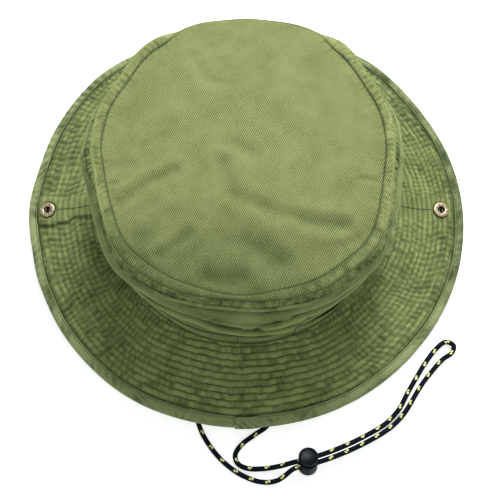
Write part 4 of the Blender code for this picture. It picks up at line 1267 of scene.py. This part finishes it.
def folded_matrix(side):
    """Where a snap's socket comes when its side of the brim is folded up."""
    fold = joint("fold_" + side)
    pivot = Vector(fold["pos_m"])
    turn = Matrix.Rotation(math.radians(fold["range_deg"][1]), 4, Vector(fold["axis"]))
    return Matrix.Translation(pivot) @ turn @ Matrix.Translation(-pivot) @ snap_matrix(side)


SOCKET = scaled([
    (2.30, 0.10), (5.0, 0.05), (5.40, 0.15), (5.58, 0.40), (5.60, 0.80), (5.52, 1.20), (5.35, 1.55),
    (5.10, 1.80), (4.80, 1.93), (4.45, 1.98), (3.3, 1.96), (2.90, 1.88), (2.62, 1.65), (2.50, 1.35),
    (2.45, 1.15), (3.3, 1.10), (3.35, 0.60), (2.30, 0.50),
])
CAP = scaled([
    (0.0, 0.10), (1.9, 0.15), (2.20, 0.42), (2.28, 0.30), (2.20, 0.05), (1.95, -0.4), (1.9, -2.4),
    (5.3, -2.4), (5.9, -2.45), (6.2, -2.75), (6.15, -3.1), (5.8, -3.4), (5.1, -3.65), (4.0, -3.9),
    (2.6, -4.1), (1.2, -4.2), (0.0, -4.22),
])
STUD = scaled([
    (0.0, 0.44), (1.2, 0.44), (1.65, 0.48), (1.80, 0.55), (1.70, 0.62), (1.2, 0.66), (1.1, 0.72), (1.1, 1.0),
    (1.6, 1.2), (1.9, 1.5), (1.9, 2.3), (2.1, 2.45), (3.9, 2.5), (4.3, 2.55), (4.5, 2.75), (4.5, 3.0),
    (4.3, 3.2), (0.0, 3.25),
])


def path_sides(path):
    """Two directions square to a path at each of its points: level and upward."""
    ahead = unit(np.gradient(path, axis=0))
    side = unit(np.cross(ahead, [0.0, 0.0, 1.0]))
    return side, np.cross(side, ahead)


def wire_mesh(name, path, radius, sides=8, weave=None):
    """A round wire through points, with closed ends. weave is the cloth's value at each point, if any."""
    path = np.asarray(path, float)
    side, lift = path_sides(path)
    turns = [TAU * i / sides for i in range(sides)]
    grid = np.stack([path + (side * math.cos(t) + lift * math.sin(t)) * radius for t in turns])
    return grid_mesh(name, grid, None if weave is None else np.stack([weave] * sides), around=False)


def spring_path():
    """An S spring: two straight wires on either side of the hole, joined round the groove in the ring."""
    height, gap, groove = 0.85 * MM, 1.32 * MM, 2.85 * MM
    end = math.acos(gap / groove)
    reach = math.sin(end) * groove
    points = [(-gap, y, height) for y in np.linspace(-reach, 0.85 * reach, 8)]
    for turn in np.linspace(math.pi - end, -end, 14):
        points.append((groove * math.cos(turn), groove * math.sin(turn), height))
    return points + [(gap, y, height) for y in np.linspace(-0.85 * reach, reach, 8)]


def build_snaps():
    for side in ("left", "right"):
        flat = snap_matrix(side)
        socket = put("socket_" + side, lathe("socket_" + side, SOCKET, 96), BRASS)
        bm = bmesh.new()
        for number in range(8):
            turn = TAU * (number + 0.5) / 8
            place = Matrix.Translation((3.95 * MM * math.cos(turn), 3.95 * MM * math.sin(turn), 1.98 * MM))
            bmesh.ops.create_icosphere(bm, subdivisions=2, radius=0.46 * MM, matrix=place)
        cut_with(socket, mesh_from(bm, "pits"))
        shade_round(socket.data, 38.0)
        wire = wire_mesh("socket_spring_" + side, spring_path(), 0.12 * MM)
        spring = put("socket_spring_" + side, wire, STEEL)
        cap = put("cap_" + side, lathe("cap_" + side, CAP, 72), CAP_BRASS)
        # Painted shade: the cap's post, seen down the socket's hole, is made near black so that the hole
        # looks dark.
        cap.data.materials.append(HOLE_SHADE)
        for face in cap.data.polygons:
            x, y, z = face.center
            face.material_index = int(z > -2.3 * MM and math.hypot(x, y) > 0.9 * MM)
        for piece, node in ((socket, "snap_socket_"), (spring, "snap_spring_"), (cap, "snap_cap_")):
            piece.data.transform(flat)
            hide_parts(node + side)
            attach(piece, "brim_" + side)
        stud = lathe("stud_" + side, STUD, 64)
        stud.transform(folded_matrix(side))
        put("stud_" + side, stud, BRASS, "hat", ["crown_stud_" + side])
        backing = bpy.data.objects["stud_backing_" + side]
        backing.data.materials.clear()
        backing.data.materials.append(BRASS)
        backing.data.shade_smooth()


# ---------- chin cord and lock

CORD_RADIUS = 1.75 * MM
ON_TABLE = 2.05
STRAND_OFFSET = 1.95 * MM
ARC_RADIUS = 200.0 * MM
ARC_MARGIN = math.radians(2.8)
LOCK_LEAN = math.radians(18.0)
LOCK_X, LOCK_Y = 40.8 * MM, -175.6 * MM


def lock_axes():
    """The centre and axis of the lock's travel, and the cord's direction and inward normal at the lock."""
    centre = Vector(joint("lock_slide")["pos_m"])
    axis = Vector(joint("lock_slide")["axis"]).normalized()
    inward = Vector((centre.x - LOCK_X, centre.y - LOCK_Y, 0.0)).normalized()
    return centre, axis, inward.cross(axis), inward


def arc_points(offset, backwards=False):
    centre, _, along, inward = lock_axes()
    travel = math.radians(joint("lock_slide")["range_deg"][1])
    steps = np.linspace(-ARC_MARGIN, travel + ARC_MARGIN, 7)
    if backwards:
        steps = steps[::-1]
    return [centre + (along * math.sin(a) - inward * math.cos(a)) * (ARC_RADIUS + offset) for a in steps]


def cord_places(places):
    """Points of the cord from (x, y) or (x, y, height over the table), in mm."""
    found = []
    for place in places:
        height = place[2] if len(place) > 2 else ON_TABLE
        found.append(Vector((place[0] * MM, place[1] * MM, TABLE + height * MM)))
    return found


def cord_path():
    """One cord: from the left tab, through the lock, round the loop and back to the right tab."""
    def knot(side):
        ends = [(94.5, 0, 11.4), (92.5, 0, 11.4), (90, 0, 11.4), (86, 0, 11.4), (82, -1.5, 11.4)]
        return cord_places([(side * x, y, z) for x, y, z in ends])
    left = cord_places([
        (-79, -8, 10.6), (-70, -30, 7.0), (-58, -62, 3.2), (-46, -100), (-36, -133), (-31, -150),
        (-26, -160.5), (-18, -171), (-9, -179), (0.5, -184.5), (11, -187.6, 2.1), (21.5, -186.6, 4.6),
    ])
    outer = cord_places([
        (99, -150.4, 2.8), (106.6, -142.4), (112.8, -133), (119, -123.6), (126.4, -114.6), (134, -106.6),
        (140.8, -101.8),
    ])
    inner = cord_places([
        (142.4, -96.5), (136.6, -94.3), (129.3, -100), (121.8, -109.5), (115.4, -119.2), (109.3, -129),
        (103.2, -139.6), (96.2, -147.4, 2.8),
    ])
    right = cord_places([
        (22.5, -177.8, 5.2), (11.5, -179.2, 2.4), (1.5, -178.9), (-5, -175.6), (-6.4, -169.6), (-2, -163.2),
        (6, -157.2), (15.5, -150), (24, -134), (38, -100), (56, -60, 3.2), (70, -28, 7.4), (79, -8, 10.6),
    ])
    path = knot(-1) + left + arc_points(STRAND_OFFSET) + outer
    return path + inner + arc_points(-STRAND_OFFSET, backwards=True) + right + list(reversed(knot(1)))


def smooth_path(points, step):
    """A Catmull-Rom curve through points, resampled evenly."""
    p = np.array([tuple(v) for v in points])
    p = np.vstack([2 * p[0] - p[1], p, 2 * p[-1] - p[-2]])
    dense = []
    for a, b, c, d in zip(p, p[1:], p[2:], p[3:]):
        t = np.linspace(0, 1, 24, endpoint=False)[:, None]
        dense.append(0.5 * (2 * b + (c - a) * t + (2 * a - 5 * b + 4 * c - d) * t ** 2
                            + (3 * b - a - 3 * c + d) * t ** 3))
    dense = np.vstack(dense + [p[-2][None]])
    run = np.concatenate([[0], np.cumsum(np.linalg.norm(np.diff(dense, axis=0), axis=1))])
    even = np.arange(0, run[-1], step)
    return np.stack([np.interp(even, run, dense[:, k]) for k in range(3)], 1), even


def cord_flecks(distance, turn):
    """Which yarn shows at each place of the braid: 0 black, 1 yellow or 2 cream."""
    repeat = 11.4 * MM
    twist = 0.45 * np.sin(distance / (160.0 * MM) + 0.6) + 0.25 * np.sin(distance / (47.0 * MM))
    fleck = np.zeros(np.broadcast_shapes(distance.shape, turn.shape))
    for centre, phase in ((math.pi / 2, 0.0), (-math.pi / 2, 0.5)):
        along = ((distance / repeat + phase) % 1.0 - 0.5) * repeat
        across = turned(turn, centre + twist) * CORD_RADIUS
        for kind, shift_along, shift_across in ((1.0, -0.75, -0.42), (2.0, 0.75, 0.38)):
            past = along - shift_along * MM
            inside = np.abs(past) < 0.78 * MM
            inside = inside & (np.abs(across - shift_across * MM + 0.25 * past) < 0.72 * MM)
            fleck = np.where(inside, kind, fleck)
    return fleck


def build_cord():
    step = 0.42 * MM / FINE
    path, run = smooth_path(cord_path(), step)
    side, lift = path_sides(path)
    turn = (np.arange(32) / 32 * TAU)[:, None]
    outward = side[None] * np.cos(turn)[..., None] + lift[None] * np.sin(turn)[..., None]
    distance = run[None, :]
    carriers, lay = 8, TAU / (11.4 * MM)
    one = np.sin(carriers * turn + distance * lay * carriers / 2)
    other = np.sin(carriers * turn - distance * lay * carriers / 2)
    braid = one * other
    end = np.minimum(distance, run[-1] - distance)
    knot = 0.9 * smooth((4.2 * MM - end) / (1.6 * MM))
    lumps = 0.25 * knot * np.sin(3 * turn + distance * 1400)
    radius = (CORD_RADIUS - 0.14 * MM) * (1 + knot * 0.62 + lumps) + 0.13 * MM * braid
    rounding = np.sqrt(np.clip(end / (1.2 * MM), 0.02, 1.0))
    fleck = cord_flecks(distance, turn)
    radius = radius * rounding + (fleck > 0) * 0.05 * MM
    grid = path[None] + outward * radius[..., None]
    cloth = stacked(distance / MM, turn * 1.5, fleck)
    mesh = grid_mesh("cord_braid", grid, cloth, around=False)
    put("cord_braid", mesh, CORD, "chin_cord", ["chin_cord"])


BARREL = scaled([
    (0.0, -8.0), (4.7, -8.0), (5.4, -7.9), (5.95, -7.55), (6.3, -7.0), (6.4, -6.4), (6.4, 3.0), (6.33, 3.4),
    (6.1, 3.7), (5.8, 3.8), (5.5, 3.75), (5.25, 3.5), (5.2, 3.2), (5.2, -7.0), (0.0, -7.0),
])
PLUNGER = scaled([
    (0.0, -3.5), (4.6, -3.5), (4.8, -3.3), (4.8, 5.9), (4.9, 6.2), (5.3, 6.35), (5.9, 6.4), (6.25, 6.6),
    (6.4, 6.95), (6.4, 7.6), (6.37, 8.1), (6.25, 8.5), (6.0, 8.72), (5.7, 8.78), (5.4, 8.7), (5.15, 8.5),
    (4.8, 8.4), (0.0, 8.34),
])


def slot_block(low, high):
    """A bar along X with well rounded sides, that cuts the cord's slot."""
    bm = block(Vector((-10.0, -4.0, low)) * MM, Vector((10.0, 4.0, high)) * MM)
    lengthwise = [e for e in bm.edges if abs((e.verts[0].co - e.verts[1].co).x) > 1.0 * MM]
    bmesh.ops.bevel(bm, geom=lengthwise, offset=1.6 * MM, segments=6, profile=0.5, affect="EDGES")
    return mesh_from(bm, "slot")


def coil_path():
    """The lock's coil spring, from the barrel's floor to the stem, two and a half turns."""
    share = np.linspace(0.0, 1.0, 80)
    turn = share * 2.5 * TAU
    return np.stack([3.2 * MM * np.cos(turn), 3.2 * MM * np.sin(turn), (-6.5 + 2.5 * share) * MM], axis=1)


def build_lock():
    centre, axis, along, inward = lock_axes()
    lean = Matrix.Rotation(-LOCK_LEAN, 4, "X")
    turn = Matrix((along, inward, axis)).transposed().to_4x4()
    place = Matrix.Translation(centre - inward * ARC_RADIUS) @ turn @ lean
    for name, outline, slot, node, body in (
        ("lock_barrel_shell", BARREL, (-2.85, 2.85), "lock_barrel", "cord_lock"),
        ("lock_button_stem", PLUNGER, (-2.85, 5.05), "lock_plunger", "lock_button"),
    ):
        piece = put(name, lathe(name, outline, 96), PLASTIC, body, [node])
        cut_with(piece, slot_block(*slot))
        shade_round(piece.data, 35.0)
        piece.data.transform(place)
    coil = wire_mesh("lock_coil", coil_path(), 0.2 * MM)
    coil.transform(place)
    spring = put("lock_coil", coil, STEEL, "cord_lock", ["lock_spring"])
    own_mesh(spring)


# ---------- stage

CAMERA_ELEVATION = math.radians(70.88)
CAMERA_TARGET = Vector((3.17 * MM, -26.76 * MM, TABLE))
CAMERA_DISTANCE = 654.93 * MM
KEY_PLACE, FILL_PLACE = (0.22, 1.05, 1.20), (0.45, -0.9, 1.3)
LIT = (0, 0, -0.03)                                 # where both lamps point


def build_stage():
    bm = bmesh.new()
    bmesh.ops.create_grid(bm, x_segments=2, y_segments=2, size=3.0)
    floor = added("floor", mesh_from(bm, "floor"))
    floor.location = (0, 0, TABLE - 0.2 * MM)
    shader = Shader("pale_floor")
    seen = shader.node("LightPath", {})["Is Camera Ray"]
    glow = shader.scaled_sum(seen, 0.50, 0.15)
    pale = shader.finish(None, 0.0, 0.0, Base_Color=(0.93, 0.93, 0.92, 1.0), Roughness=0.9,
                         Emission_Color=(1.0, 1.0, 1.0, 1.0), Emission_Strength=glow)
    floor.data.materials.append(pale)


def area_light(name, place, size, power):
    light = bpy.data.lights.new(name, "AREA")
    light.shape = "DISK"
    light.size = size
    light.energy = power
    lamp = added(name, light)
    lamp.location = place
    lamp.rotation_euler = (Vector(LIT) - Vector(place)).to_track_quat("-Z", "Y").to_euler()


def build_lights():
    area_light("key", KEY_PLACE, 0.75, 31.0)
    area_light("fill", FILL_PLACE, 1.2, 3.5)
    world = bpy.data.worlds.new("studio")
    world.use_nodes = True
    world.node_tree.nodes["Background"].inputs["Color"].default_value = (0.90, 1.0, 0.92, 1.0)
    world.node_tree.nodes["Background"].inputs["Strength"].default_value = 0.35
    bpy.context.scene.world = world
    bpy.context.scene.view_settings.view_transform = "Standard"


def build_camera():
    camera = bpy.data.cameras.new("camera")
    camera.sensor_width = 36.0
    camera.lens = 66.3
    lens = added("camera", camera)
    back = Vector((0.0, -math.cos(CAMERA_ELEVATION), math.sin(CAMERA_ELEVATION)))
    lens.location = CAMERA_TARGET + back * CAMERA_DISTANCE
    lens.rotation_mode = "QUATERNION"
    lens.rotation_quaternion = (-back).to_track_quat("-Z", "Y")
    bpy.context.scene.camera = lens


build_brim()
build_brim_stitching()
build_side_seams()
build_binding()
build_wall()
build_tip()
build_seam_roll()
build_crown_stitching()
build_band()
build_sweatband()
build_tip_tape()
build_side_tapes()
build_cord_tabs()
build_snaps()
build_cord()
build_lock()
build_stage()
build_lights()
build_camera()
